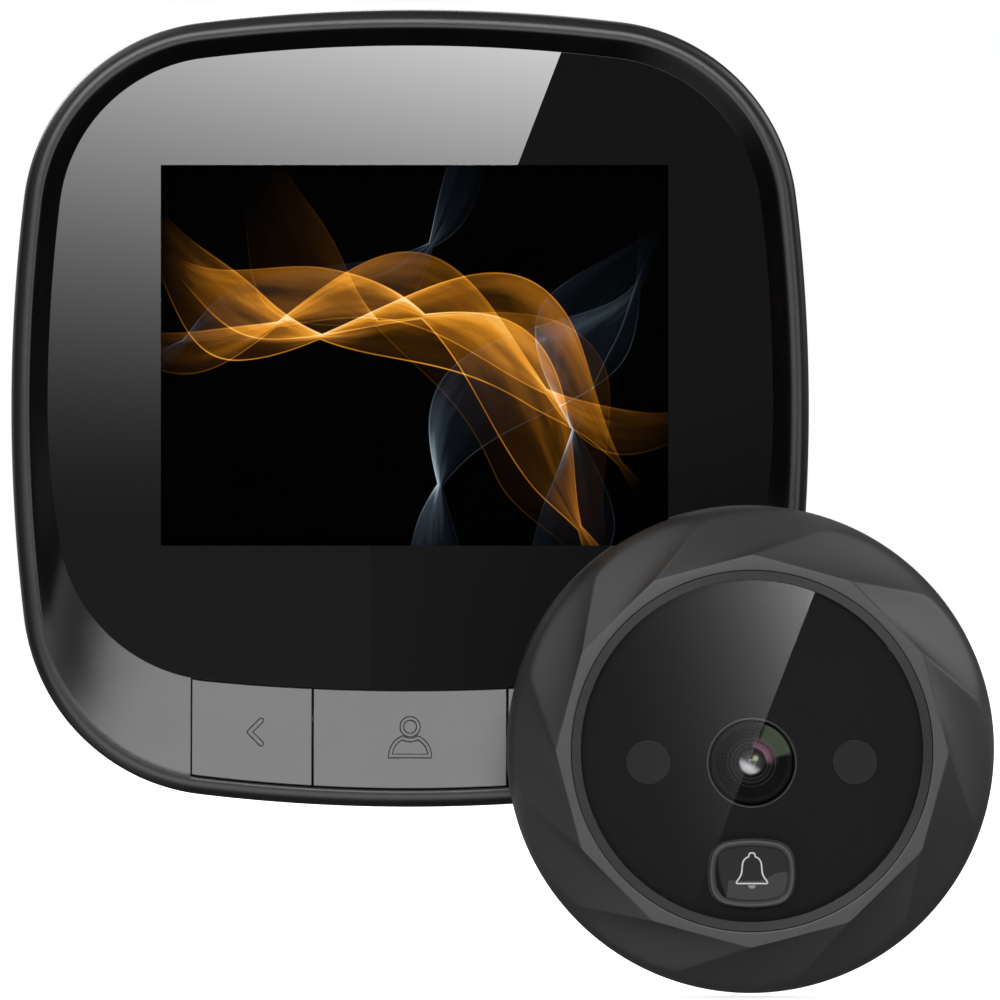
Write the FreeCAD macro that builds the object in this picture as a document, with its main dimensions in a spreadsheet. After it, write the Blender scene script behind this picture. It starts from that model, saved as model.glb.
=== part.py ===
# Digital door viewer: an indoor screen unit that hooks on to a door plate, and a round outdoor
# camera unit with a doorbell button, both seen from the front as they are laid out side by side.
# Frame: X to the right, +Z up, +Y into the door. The origin is on the door plate's back face,
# behind the middle of the screen unit. A depth called front or back counts forward from there.
import FreeCAD, Part
import math
import os
import re
import Sketcher

os.makedirs("parts", exist_ok=True)
Vector = FreeCAD.Vector
doc = FreeCAD.newDocument("DoorViewer")
sheet = doc.addObject("Spreadsheet::Sheet", "Sizes")
SIZE_NAMES = []
NODES = []
SUMS = {}


def size(name, number, words):
    """One driving dimension: a row of the sheet with its words, its number and its alias."""
    row = len(SIZE_NAMES) + 1
    sheet.set("A%d" % row, words)
    sheet.set("B%d" % row, str(number))
    sheet.setAlias("B%d" % row, name)
    SIZE_NAMES.append(name)


def follows(name, total):
    """A size that follows from others: its name stands for their sum wherever it is used."""
    SUMS[name] = "(%s)" % total


# Screen unit, casing
size("case_half", 45.26, "half width and half height of the casing")
size("side_bow", 199.1, "radius of the casing's four bowed sides")
size("corner_bow", 22.8, "radius of the casing's corners")
size("case_wall", 1.8, "side wall of both shells")
size("case_back", 0.5, "back face of the rear case")
size("back_wall", 1.5, "thickness of the rear case's back")
size("parting", 11.5, "joint between rear case and front frame")
size("crest", 20.0, "front of the rim")
size("front_round", 1.5, "rounding of the rim's outer edge")
size("back_round", 3.0, "rounding of the rear case's back edge")
size("rim_width", 2.05, "rim, seen from the front")
size("dish_width", 2.0, "slope from the rim to the window, at the top and the sides")
size("window_front", 18.0, "front of the display window")
size("window_thick", 1.0, "display window")
size("window_drop", 32.0, "lower edge of the display window below the middle")
size("window_low_side", 83.4, "radius of the window's sides, lower half")
size("window_low_bow", 239.3, "radius of the window's lower edge")
size("window_low_corner", 18.84, "radius of the window's lower corners")
size("window_ledge", 1.2, "ledge that the window is bonded to")
size("deck_thick", 1.0, "thickness of the front frame's ledge and deck")
size("bond_gap", 0.1, "play around glued and laid-in pieces")
# Screen unit, keys
size("key_split", 11.05, "half width of the middle key")
size("key_end", 24.7, "outer end of the side keys")
size("key_gap", 0.3, "gap between keys")
size("key_depth", 4.7, "depth of a key behind the rim's front")
size("key_catch", 0.9, "tab that holds a key under the deck")
size("key_catch_width", 6.0, "width of that tab")
size("key_travel", 0.4, "travel of a key")
size("key_clear", 0.7, "room behind a key, with its travel")
size("board_thick", 1.0, "circuit boards")
size("switch_side", 4.5, "side of a key switch")
size("switch_height", 1.5, "height of a key switch")
size("plunger_radius", 1.0, "plunger of a key switch")
size("plunger_height", 2.3, "top of a plunger above its board")
# Screen unit, display
size("active_wide", 57.6, "picture width of the display")
size("active_high", 43.2, "picture height of the display")
size("active_right", 0.5, "picture middle to the right of the unit's middle")
size("active_up", 6.0, "picture middle above the unit's middle")
size("panel_margin", 3.4, "display glass beyond the picture, left, top and bottom")
size("panel_ledge", 8.2, "display glass beyond the picture on the right, with its driver chip")
size("panel_thick", 1.3, "display glass")
size("backlight_thick", 1.2, "backlight")
size("cradle_thick", 1.0, "plastic cradle behind the backlight")
size("cradle_rib", 6.0, "width of the cradle's frame")
size("flex_wide", 16.0, "width of the display's flat tail")
size("flex_thick", 0.2, "thickness of the flat tail")
# Screen unit, main board
size("main_inset", 8.26, "main board's side edges inside the casing's sides")
size("main_low", -4.5, "lower edge of the main board")
size("main_top_inset", 15.06, "main board's upper edge below the casing's top")
size("main_back", 10.5, "back face of the main board")
size("post_radius", 2.0, "cradle posts for the main board")
size("post_inset", 3.0, "upper posts inside the board's edges")
size("post_low_side", 22.0, "lower posts, from the middle")
size("post_rise", 2.3, "lower posts above the board's lower edge")
size("cradle_edge", 2.1, "cradle beyond its posts")
# Screen unit, fastening
size("screw_radius", 1.0, "shank of the casing screws")
size("head_overhang", 0.75, "head of a casing screw beyond its shank")
size("screw_head_high", 1.3, "height of the casing screws' heads")
size("screw_play", 0.05, "radial play of a screw in its hole")
size("boss_inset_up", 11.36, "upper casing screws inside the sides and the top")
size("boss_inset_low", 12.26, "lower casing screws inside the sides")
size("boss_rise", 17.26, "lower casing screws above the casing's lower edge")
size("boss_wall", 1.3, "wall of the front frame's screw bosses")
size("well_play", 0.25, "play of a screw head in its well")
size("well_seat", 3.0, "seat of the casing screws' heads")
size("screw_tip", 13.0, "tip of the casing screws")
size("small_screw", 0.8, "shank of the board and outdoor screws")
size("small_head", 1.35, "head of the board and outdoor screws")
size("small_head_high", 0.9, "height of those heads")
# Screen unit, battery bay: three AAA cells lie across the lower half
size("cell_radius", 5.25, "AAA cell")
size("cell_long", 44.5, "AAA cell with its nub")
size("nub_long", 0.9, "nub of the cell")
size("nub_radius", 1.8, "nub of the cell")
size("cell_apart", 0.1, "gap between cells")
size("cell_clear", 0.1, "gap between the cells and the cover")
size("cell_play", 0.15, "play around the cells")
size("bay_half", 26.0, "half length of the battery bay")
size("bay_wall", 1.2, "wall of the battery bay")
size("bay_step", 0.7, "upper cell's room below the cover's upper edge")
size("bay_skin", 0.6, "thickness of the bay's floor")
size("contact_thick", 0.4, "contact plates")
size("contact_half", 3.6, "half height of a contact plate")
size("spring_radius", 3.0, "battery springs")
size("spring_wire", 0.35, "radius of their wire")
size("cover_strip", 0.4, "strip between the plate's recess and the cover")
size("cover_thick", 1.4, "battery cover")
size("cover_gap", 0.2, "gap around the battery cover")
size("tongue", 1.0, "tongues on the cover's sides")
size("tongue_thick", 0.6, "thickness of the tongues")
# Screen unit, speaker, card, switch and link socket
size("speaker_up", 16.0, "speaker above the middle")
size("speaker_radius", 7.1, "speaker basket")
size("speaker_deep", 4.0, "depth of the speaker")
size("grille_hole", 0.6, "radius of the sound holes")
size("grille_ring", 4.4, "ring of sound holes")
size("card_wide", 11.0, "memory card")
size("card_long", 15.0, "memory card")
size("card_thick", 0.8, "memory card")
size("card_depth", 9.2, "back face of the memory card")
size("socket_floor", 0.6, "card socket behind the card")
size("socket_wall", 0.8, "sides of the card socket")
size("card_up", 4.2, "memory card above the middle")
size("card_inset", 0.7, "card's edge inside the casing's side")
size("knob_wide", 4.0, "power switch knob")
size("knob_travel", 2.0, "travel of the power switch")
size("knob_up", 8.0, "middle of the power switch")
size("knob_proud", -0.3, "knob outside the casing's half width, or inside it")
size("knob_depth", 8.0, "back of the knob")
size("knob_deep", 1.5, "knob, front to back")
size("slider_half", 4.5, "half height of the power switch's body")
size("slider_inset", 4.76, "power switch's body inside the casing's side")
size("slider_deep", 6.0, "power switch's body, across")
size("grip_half", 6.0, "half width of the cover's grip")
size("grip_drop", 4.0, "grip below the cover's upper edge")
size("grip_pitch", 1.5, "pitch of the grip's grooves")
size("grip_deep", 0.35, "depth of the grip's grooves")
size("spring_gap", 0.05, "gap at the springs' ends")
size("cradle_rim", 0.6, "cradle around the display glass")
size("lcd_socket_side", 26.0, "display socket, to the right of the middle")
size("lcd_socket_wide", 4.0, "display socket")
size("lcd_socket_high", 0.8, "display socket")
size("key_board_end", 1.0, "key board beyond the keys")
size("key_board_low", 3.8, "half height of the key board")
size("basket_wall", 0.8, "speaker basket's rim")
size("basket_high", 1.6, "outer wall of the speaker basket, front to back")
size("basket_back", 2.8, "front of the basket's sloping floor, from its lip")
size("basket_sheet", 0.6, "thickness of that floor")
size("magnet_back", 1.8, "back of the magnet, from the basket's lip")
size("cone_cap", 0.8, "middle of the speaker cone, from the basket's lip")
size("cone_neck", 1.2, "deepest ring of the cone, from the lip")
size("cone_edge", 0.6, "edge of the cone, from the lip")
size("cone_thick", 0.3, "speaker cone")
size("magnet_radius", 4.1, "speaker magnet")
size("link_half", 5.5, "half width of the link socket")
size("link_half_high", 2.2, "half height of the link socket")
size("link_deep", 2.8, "depth of the link socket")
size("chip_thick", 1.1, "chips of the main board")
size("coil_thick", 2.6, "tall parts of the main board")
size("processor_side", 12, "processor")
size("memory_wide", 8, "memory chip")
size("memory_high", 11, "memory chip")
size("power_chip", 7, "power chip")
size("coil_side", 5, "power coil")
size("plug_wide", 8, "battery plug")
size("capacitor_side", 4, "capacitor and the battery plug's height")
# Door plate
size("plate_thick", 1.2, "door plate")
size("plate_half", 23.0, "half width of the door plate")
size("plate_low", -2.4, "lower edge of the door plate")
size("plate_high", 32.0, "upper edge of the door plate")
size("plate_corner", 5.0, "corner radius of the door plate")
size("plate_gap", 0.3, "gap around the plate in its recess")
size("door_hole_up", 14.0, "middle of the hole in the door")
size("clamp_half", 5.2, "clamp screws, from the middle of the hole")
size("clamp_hole", 1.7, "radius of the plate's holes for the clamp screws")
size("plate_window_half", 2.7, "half width of the plate's cable window")
size("window_half_high", 6.0, "half height of the cable windows")
size("case_window_half", 8.8, "half width of the rear case's cable window")
size("recess_wall", 1.7, "rear case behind the plate")
size("hook_half", 3.0, "half width of a hook")
size("hook_stem", 1.2, "thickness of a hook's stem")
size("hook_lip", 3.3, "height of a hook's lip")
size("hook_gap", 0.2, "gap between a lip and the rear case")
size("hook_side", 16.5, "hooks, from the middle")
size("hook_high", 26.0, "upper hooks, top of the stem")
size("hook_low", 5.0, "lower hooks, top of the stem")
size("lift", 4.0, "travel that unhooks the screen unit")
# Outdoor unit, casing
size("unit_right", 38.3, "outdoor unit, to the right of the screen unit's middle")
size("unit_up", -38.4, "outdoor unit, above the screen unit's middle")
size("unit_back", 30.0, "back of the outdoor unit's casing")
size("unit_front", 45.2, "front of the outdoor unit's ring")
size("unit_radius", 27.2, "outer radius of the ring")
size("unit_waist", 34.5, "depth at which the ring is widest")
size("ring_bow", 13.61, "radius of the ring's round shoulder")
size("shoulder_wide", 5.2, "round shoulder, seen from the front")
size("foot_step", 0.55, "ring's back edge inside its outer radius")
size("foot_bow", 6.0, "radius of the flank behind the waist")
size("edge_step", 1.2, "rear housing's back edge inside the ring's outer radius")
size("plateau_inset", 5.24, "corners of the flat front inside the outer radius")
size("ridge_foot", 36.8, "depth at which the ring's ridges have run out")
size("ridge_over", 1.87, "ridges' ends beyond the outer radius")
size("ridge_turn", 25.3, "angle that they turn through")
size("housing_front", 32.0, "front of the rear housing's flange")
size("plateau_wide", 7.05, "trim ring's outside inside the outer radius")
size("trim_wide", 1.05, "trim ring")
size("trim_front_in", 44.6, "trim ring, inner front edge")
size("cover_back", 43.4, "back of the cover glass")
size("cover_thick_out", 1.2, "cover glass")
size("mask_thick", 0.2, "black mask behind the cover glass")
size("ledge_wide", 1.2, "ledge that carries the cover glass")
size("ledge_thick", 1.0, "thickness of that ledge")
size("ring_wall", 5.6, "wall of the ring around the space inside it")
size("spigot_radius", 7.8, "spigot, for a 16 mm hole")
size("spigot_long", 9.0, "length of the spigot")
size("slot_half", 1.5, "half width of the ribbon slot")
size("slot_high", 4.6, "half height of the ribbon slot")
size("insert_radius", 1.95, "brass insert")
size("insert_bore", 1.25, "core hole of an M3 thread")
size("insert_long", 5.0, "length of a brass insert")
size("seal_inset", 1.0, "seal ring outside the space inside the ring")
size("seal_wire", 0.46, "radius of the seal ring's section")
size("seal_groove", 0.95, "depth of its groove")
size("foam_wide", 6.5, "foam ring")
size("foam_inset", 4.2, "foam ring inside the ring's outer radius")
size("foam_thick", 1.0, "foam ring")
size("ring_screw_inset", 2.5, "ring screws inside the outer radius")
size("ring_screw_long", 6.0, "length of the screws that hold the ring")
# Outdoor unit, board and camera
size("disc_play", 1.1, "room around the outdoor board")
size("disc_back", 34.2, "back face of the outdoor board")
size("disc_post_inset", 3.5, "board's posts inside the board's edge")
size("disc_post_radius", 1.8, "posts of the outdoor board")
size("eye_up", -1.34, "camera above the outdoor unit's middle")
size("eye_play", 0.35, "clear window over the camera beyond the barrel's head")
size("barrel_radius", 4.0, "thread of the lens barrel")
size("barrel_lip", 0.5, "head of the lens barrel beyond its thread")
size("barrel_front", 42.6, "front of the lens barrel")
size("barrel_wall", 1.6, "wall of the lens barrel")
size("lens_rear_high", 1.2, "rear lens at its edge")
size("lens_hollow", 0.3, "depth of a lens face's bow")
size("dome_radius", 1.48, "dome of the front lens")
size("dome_rise", 1.1, "height of the front lens dome")
size("dome_bow", 1.6, "radius of the dome")
size("lens_play", 0.05, "play of the lens parts")
size("holder_wall", 1.5, "wall of the lens holder")
size("holder_high", 4.5, "height of the lens holder")
size("sensor_half", 3.5, "half width of the image sensor")
size("sensor_high", 0.9, "height of the image sensor")
size("lamp_side", 11.54, "infrared lamps, from the middle")
size("lamp_up", -1.28, "infrared lamps, height")
size("lamp_radius", 2.5, "infrared lamps and their windows")
size("lamp_lip", 0.4, "flange of an infrared lamp beyond its cap")
size("lamp_long", 7.9, "length of an infrared lamp")
# Outdoor unit, doorbell button
size("bell_up", -13.66, "doorbell button above the outdoor unit's middle")
size("bell_half", 4.8, "half width of the doorbell button")
size("bell_high", 3.8, "half height of the doorbell button")
size("bell_side_bow", 8.0, "radius of its sides")
size("bell_end_bow", 14.0, "radius of its top and bottom")
size("bell_corner", 2.4, "radius of its corners")
size("bell_play", 0.15, "gap around the button")
size("bell_front", 44.9, "front of the button")
size("bell_rim", 0.75, "rim around its inlay")
size("bell_dish", 0.8, "depth of the inlay's seat")
size("bell_inlay", 0.5, "thickness of the inlay")
size("bell_flange", 0.9, "flange that holds the button in")
size("bell_flange_thick", 0.8, "thickness of that flange")
size("bell_travel", 0.6, "travel of the doorbell button")
size("bell_switch_half", 3.0, "half side of the doorbell switch")
size("bell_switch_high", 2.8, "height of the doorbell switch")
size("bell_plunger", 1.7, "radius of its plunger")
size("bell_plunger_top", 3.8, "top of its plunger above the board")
doc.recompute()

# Sizes that follow from those above: screen unit
follows("key_middle", "(window_drop + case_half - rim_width) / 2")
follows("key_board_front", "crest - key_depth - key_clear")
follows("main_half", "case_half - main_inset")
follows("main_high", "case_half - main_top_inset")
follows("post_side", "main_half - post_inset")
follows("post_high", "main_high - post_inset")
follows("post_low", "main_low + post_rise")
follows("screw_head_radius", "screw_radius + head_overhang")
follows("boss_radius", "screw_radius + boss_wall")
follows("well_radius", "screw_head_radius + well_play")
follows("boss_side_up", "case_half - boss_inset_up")
follows("boss_side_low", "case_half - boss_inset_low")
follows("boss_low", "boss_rise - case_half")
follows("cover_half", "bay_half + bay_wall + bond_gap")
follows("cover_top", "plate_low - plate_gap - lift - cover_strip")
follows("cell_pitch", "2 * cell_radius + cell_apart")
follows("cell_middle", "cover_top - bay_step - cell_pitch - cell_radius - cell_play")
follows("bay_floor", "case_back + cover_thick + cell_clear + 2 * cell_radius + cell_play")
follows("speaker_side", "plate_half + 2 * plate_gap + case_wall + speaker_radius + cover_gap")
follows("socket_back", "card_depth - socket_floor")
follows("slider_out", "case_half - slider_inset")

# Sizes that follow from those above: outdoor unit
follows("unit_foot", "unit_radius - foot_step")
follows("housing_edge", "unit_radius - edge_step")
follows("plateau_corner", "unit_radius - plateau_inset")
follows("ring_edge", "unit_radius - shoulder_wide")
follows("ridge_reach", "unit_radius + ridge_over")
follows("trim_outer", "unit_radius - plateau_wide")
follows("trim_inner", "trim_outer - trim_wide")
follows("ledge_inner", "trim_inner - ledge_wide")
follows("cavity_radius", "unit_radius - ring_wall")
follows("seal_radius", "cavity_radius + seal_inset")
follows("foam_outer", "unit_radius - foam_inset")
follows("foam_inner", "foam_outer - foam_wide")
follows("ring_screw_circle", "unit_radius - ring_screw_inset")
follows("disc_radius", "cavity_radius - disc_play")
follows("disc_post_circle", "disc_radius - disc_post_inset")
follows("barrel_head", "barrel_radius + barrel_lip")
follows("eye_window", "barrel_head + eye_play")
follows("lens_radius", "barrel_radius - barrel_wall")
follows("holder_half", "barrel_radius + holder_wall")
follows("lamp_flange", "lamp_radius + lamp_lip")


def spelled_out(text):
    """A sum of sizes with each size that follows from others written as its own sum."""
    full = re.sub(r"[a-z][a-z_]*", lambda word: SUMS.get(word.group(0), word.group(0)), text)
    return full if full == text else spelled_out(full)


def bound(text):
    """The same sum written for the document, with each size's name led back to the sheet."""
    return re.sub(r"[a-z][a-z_]*", lambda word: "Sizes." + word.group(0), spelled_out(text))


def value(text):
    """The number that a sum of sizes has now."""
    terms = re.sub(r"[a-z][a-z_]*", lambda word: str(float(sheet.get(word.group(0)))),
                   spelled_out(text))
    total = FreeCAD.Units.Quantity(terms)
    return total.Value


def name_node(thing, node):
    """Gives a finished piece its name and lists it for writing out."""
    thing.Label = node
    NODES.append(thing)
    return thing


def place(thing, x, y, z):
    """Binds a piece's position to the sheet, turned as it already is."""
    for axis, text in (("x", x), ("y", y), ("z", z)):
        thing.setExpression(".Placement.Base." + axis, bound(text))


def spans(middle, half):
    """Both ends of a stretch that is centred on a place."""
    return "%s - (%s)" % (middle, half), "%s + (%s)" % (middle, half)


def block(low_x, high_x, back, front, low_z, high_z):
    """A box between two planes each way; back and front count forward from the door."""
    solid = doc.addObject("Part::Box", "block")
    solid.setExpression("Length", bound("(%s) - (%s)" % (high_x, low_x)))
    solid.setExpression("Width", bound("(%s) - (%s)" % (front, back)))
    solid.setExpression("Height", bound("(%s) - (%s)" % (high_z, low_z)))
    place(solid, low_x, "-(%s)" % front, low_z)
    return solid


def rod(radius, back, front, x, z):
    """A round bar along Y between two depths."""
    solid = doc.addObject("Part::Cylinder", "rod")
    solid.setExpression("Radius", bound(radius))
    solid.setExpression("Height", bound("(%s) - (%s)" % (front, back)))
    solid.Placement.Rotation = FreeCAD.Rotation(Vector(1, 0, 0), -90)
    place(solid, x, "-(%s)" % front, z)
    return solid


def joined(pieces):
    """One solid out of pieces that meet."""
    fuse = doc.addObject("Part::MultiFuse", "joined")
    fuse.Shapes = pieces
    fuse.Refine = True
    return fuse


def less(base, tools):
    """The base with every tool cut out of it."""
    cut = doc.addObject("Part::Cut", "less")
    cut.Base = base
    cut.Tool = tools[0] if len(tools) == 1 else joined(tools)
    return cut


def shared(first, second):
    """What two solids have in common."""
    common = doc.addObject("Part::MultiCommon", "shared")
    common.Shapes = [first, second]
    return common


def grouped(pieces):
    """Separate solids that share one node."""
    group = doc.addObject("Part::Compound", "group")
    group.Links = pieces
    return group


def sketch_in(body, role, offset):
    """A sketch on one of the body's own planes, moved along its normal."""
    sketch = body.newObject("Sketcher::SketchObject", "sketch")
    plane = next(p for p in body.Origin.OriginFeatures if p.Role == role)
    sketch.AttachmentSupport = [(plane, "")]
    sketch.MapMode = "FlatFace"
    sketch.setExpression(".AttachmentOffset.Base.z", bound(offset))
    return sketch


def pin_point(sketch, index, end, across, up):
    """Ties a curve's end to its two distances from the sketch's origin."""
    for kind, text in (("DistanceX", across), ("DistanceY", up)):
        place_of = Sketcher.Constraint(kind, -1, 1, index, end, value(text))
        number = sketch.addConstraint(place_of)
        sketch.setExpression("Constraints[%d]" % number, bound(text))


def size_arc(sketch, index, radius):
    """Binds an arc's radius to the sheet."""
    number = sketch.addConstraint(Sketcher.Constraint("Radius", index, value(radius)))
    sketch.setExpression("Constraints[%d]" % number, bound(radius))


def draw_profile(sketch, corners):
    """Closed outline through corners; a third entry bows the side after it out to that radius."""
    points = [Vector(value(c[0]), value(c[1]), 0) for c in corners]
    for number, corner in enumerate(corners):
        start = points[number]
        stop = points[(number + 1) % len(points)]
        if len(corner) == 2:
            sketch.addGeometry(Part.LineSegment(start, stop))
        else:
            radius = value(corner[2])
            chord = stop - start
            middle = (start + stop) * 0.5
            outward = Vector(chord.y, -chord.x, 0).normalize()
            rise = radius - math.sqrt(radius ** 2 - (chord.Length / 2) ** 2)
            sketch.addGeometry(Part.Arc(start, middle + outward * rise, stop))
    ends = [(1, 2) if len(corner) == 2 else arc_ends(sketch, number, points[number])
            for number, corner in enumerate(corners)]
    for number, corner in enumerate(corners):
        after = (number + 1) % len(corners)
        meet = Sketcher.Constraint("Coincident", number, ends[number][1], after, ends[after][0])
        sketch.addConstraint(meet)
        pin_point(sketch, number, ends[number][0], corner[0], corner[1])
        if len(corner) == 3:
            size_arc(sketch, number, corner[2])


def arc_ends(sketch, number, start):
    """Which of an arc's two ends is its first and which its last, going round the outline."""
    first = sketch.getPoint(number, 1)
    return (1, 2) if first.distanceToPoint(start) < 0.001 else (2, 1)


def meeting_centre(first, first_radius, second, second_radius, radius, toward):
    """Centre of an arc that lies inside two larger arcs and touches both of them."""
    apart = math.dist(first, second)
    one = first_radius - radius
    two = second_radius - radius
    along = (apart ** 2 + one ** 2 - two ** 2) / (2 * apart)
    aside = math.sqrt(one ** 2 - along ** 2)
    ux = (second[0] - first[0]) / apart
    uz = (second[1] - first[1]) / apart
    both = [(first[0] + along * ux - side * uz, first[1] + along * uz + side * ux)
            for side in (aside, -aside)]
    return max(both, key=lambda point: point[0] * toward[0] + point[1] * toward[1])


class Outline:
    """A rounded square with bowed sides: ten arcs, the upper and the lower half on their own."""

    def __init__(self, half, top, bottom, side_up, side_low, top_bow, bottom_bow,
                 corner_up, corner_low, right="0", up="0"):
        self.terms = [half, top, bottom, side_up, side_low, top_bow, bottom_bow,
                      corner_up, corner_low]
        self.right = right
        self.up = up

    def inset(self, margin):
        """The parallel outline, inside by the margin."""
        return Outline(*["%s - (%s)" % (term, margin) for term in self.terms],
                       right=self.right, up=self.up)

    def draw(self, sketch):
        """Draws the ten arcs anticlockwise from the right-hand side, each tangent to the next."""
        half, top, bottom, side_up, side_low, top_bow, bottom_bow, corner_up, corner_low = (
            value(term) for term in self.terms)
        big = [((half - side_up, 0), side_up), ((0, top - top_bow), top_bow),
               ((side_up - half, 0), side_up), ((side_low - half, 0), side_low),
               ((0, bottom_bow - bottom), bottom_bow), ((half - side_low, 0), side_low)]
        corners = []
        for first, second, radius, toward in ((0, 1, corner_up, (1, 1)), (1, 2, corner_up, (-1, 1)),
                                              (3, 4, corner_low, (-1, -1)),
                                              (4, 5, corner_low, (1, -1))):
            corners.append((meeting_centre(*big[first], *big[second], radius, toward), radius))
        circles = [big[0], corners[0], big[1], corners[1], big[2],
                   big[3], corners[2], big[4], corners[3], big[5]]
        joints = []
        for number in range(10):
            joints.append(touching_point(circles[number], circles[(number + 1) % 10]))
        joints[4] = (-half, 0)
        joints[9] = (half, 0)
        for number, (centre, radius) in enumerate(circles):
            start = angle_from(centre, joints[number - 1])
            stop = angle_from(centre, joints[number])
            if stop < start:
                stop += 2 * math.pi
            circle = Part.Circle(Vector(centre[0], centre[1], 0), Vector(0, 0, 1), radius)
            sketch.addGeometry(Part.ArcOfCircle(circle, start, stop))
        self.tie(sketch)

    def tie(self, sketch):
        """Binds the ten arcs: sides by their place and radius, corners by radius and tangency."""
        half, top, bottom, side_up, side_low, top_bow, bottom_bow, corner_up, corner_low = self.terms
        radii = [side_up, corner_up, top_bow, corner_up, side_up,
                 side_low, corner_low, bottom_bow, corner_low, side_low]
        for number, radius in enumerate(radii):
            size_arc(sketch, number, radius)
        for side in (0, 4, 5, 9):
            sketch.addConstraint(Sketcher.Constraint("PointOnObject", side, 3, -1))
        pin_point(sketch, 2, 3, "0", "(%s) - (%s)" % (top, top_bow))
        pin_point(sketch, 7, 3, "0", "(%s) - (%s)" % (bottom_bow, bottom))
        pin_point(sketch, 0, 1, half, "0")
        pin_point(sketch, 5, 1, "-(%s)" % half, "0")
        sketch.addConstraint(Sketcher.Constraint("Coincident", 9, 2, 0, 1))
        sketch.addConstraint(Sketcher.Constraint("Coincident", 4, 2, 5, 1))
        for number in (0, 1, 2, 3, 5, 6, 7, 8):
            sketch.addConstraint(Sketcher.Constraint("Tangent", number, 2, number + 1, 1))


def touching_point(first, second):
    """Point where the smaller of two circles touches the larger one from inside."""
    large, small = (first, second) if first[1] >= second[1] else (second, first)
    apart = math.dist(large[0], small[0])
    if apart == 0:
        return large[0]
    return tuple(large[0][k] + (small[0][k] - large[0][k]) * large[1] / apart for k in (0, 1))


def angle_from(centre, point):
    """Direction of a point as seen from a centre, in radians."""
    return math.atan2(point[1] - centre[1], point[0] - centre[0])


def rectangle(low_x, high_x, low_z, high_z):
    """Corners of an upright rectangle, anticlockwise."""
    return [(low_x, low_z), (high_x, low_z), (high_x, high_z), (low_x, high_z)]


def draw_shape(sketch, shape):
    """Draws a bowed outline or a list of corners."""
    if isinstance(shape, Outline):
        shape.draw(sketch)
    else:
        draw_profile(sketch, shape)


def slab(shape, back, front):
    """A body padded forward from one depth to another."""
    body = doc.addObject("PartDesign::Body", "slab")
    sketch = sketch_in(body, "XZ_Plane", back)
    draw_shape(sketch, shape)
    pad = body.newObject("PartDesign::Pad", "pad")
    pad.Profile = sketch
    pad.setExpression("Length", bound("(%s) - (%s)" % (front, back)))
    sketch.Visibility = False
    if isinstance(shape, Outline):
        place(body, shape.right, "0", shape.up)
    doc.recompute()
    return body


def pocket(body, shape, back, front):
    """Cuts an outline out of a body between two depths, and makes sure that it cuts."""
    before = body.Shape.Volume
    sketch = sketch_in(body, "XZ_Plane", front)
    draw_shape(sketch, shape)
    cut = body.newObject("PartDesign::Pocket", "pocket")
    cut.Profile = sketch
    cut.setExpression("Length", bound("(%s) - (%s)" % (front, back)))
    doc.recompute()
    if not body.Shape.Volume < before:
        raise RuntimeError("a pocket cut nothing")
    return cut


def drill(body, radius, back, front, spots):
    """Round holes along Y through a body, one circle of a sketch for each."""
    before = body.Shape.Volume
    sketch = sketch_in(body, "XZ_Plane", front)
    for number, (across, up) in enumerate(spots):
        centre = Vector(value(across), value(up), 0)
        sketch.addGeometry(Part.Circle(centre, Vector(0, 0, 1), value(radius)))
        size_arc(sketch, number, radius)
        pin_point(sketch, number, 3, across, up)
    cut = body.newObject("PartDesign::Pocket", "drill")
    cut.Profile = sketch
    cut.setExpression("Length", bound("(%s) - (%s)" % (front, back)))
    doc.recompute()
    if not body.Shape.Volume < before:
        raise RuntimeError("a hole cut nothing")


def turned(corners, right="0", up="0"):
    """A body turned about an axis along Y; corners give radius and depth."""
    body = doc.addObject("PartDesign::Body", "turned")
    sketch = sketch_in(body, "XY_Plane", "0")
    draw_profile(sketch, [(c[0], "-(%s)" % c[1]) + tuple(c[2:]) for c in corners])
    spin = body.newObject("PartDesign::Revolution", "spin")
    spin.Profile = sketch
    spin.ReferenceAxis = (sketch, ["V_Axis"])
    spin.Angle = 360
    sketch.Visibility = False
    place(body, right, "0", up)
    doc.recompute()
    return body


def round_edges(body, radius, chosen):
    """Rounds the edges of a body that a test picks."""
    doc.recompute()
    names = ["Edge%d" % (k + 1) for k, edge in enumerate(body.Shape.Edges) if chosen(edge)]
    if not names:
        raise RuntimeError("no edge to round")
    fillet = body.newObject("PartDesign::Fillet", "round")
    fillet.Base = (body.Tip if body.Tip is not fillet else fillet.BaseFeature, names)
    fillet.setExpression("Radius", bound(radius))
    doc.recompute()
    return fillet


def lies_at(edge, depth):
    """True for an edge that lies wholly at one depth."""
    box = edge.BoundBox
    return abs(box.YMin + depth) < 0.001 and abs(box.YMax + depth) < 0.001


def ring_spots(radius, count, first_angle):
    """Places on a circle as sums of sizes, anticlockwise from the first angle."""
    spots = []
    for number in range(count):
        angle = math.radians(first_angle + 360 * number / count)
        spots.append(("(%s) * %.6f" % (radius, math.cos(angle)),
                      "(%s) * %.6f" % (radius, math.sin(angle))))
    return spots


# Outlines shared by several pieces
CASE = Outline("case_half", "case_half", "case_half", "side_bow", "side_bow",
               "side_bow", "side_bow", "corner_bow", "corner_bow")
FRAME_FACE = "(rim_width + dish_width)"
WINDOW = Outline("case_half - " + FRAME_FACE, "case_half - " + FRAME_FACE, "window_drop",
                 "side_bow - " + FRAME_FACE, "window_low_side",
                 "side_bow - " + FRAME_FACE, "window_low_bow",
                 "corner_bow - " + FRAME_FACE, "window_low_corner")
BELL = Outline("bell_half", "bell_high", "bell_high", "bell_side_bow", "bell_side_bow",
               "bell_end_bow", "bell_end_bow", "bell_corner", "bell_corner",
               right="unit_right", up="unit_up + bell_up")
UNIT = ("unit_right", "unit_up")

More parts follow.
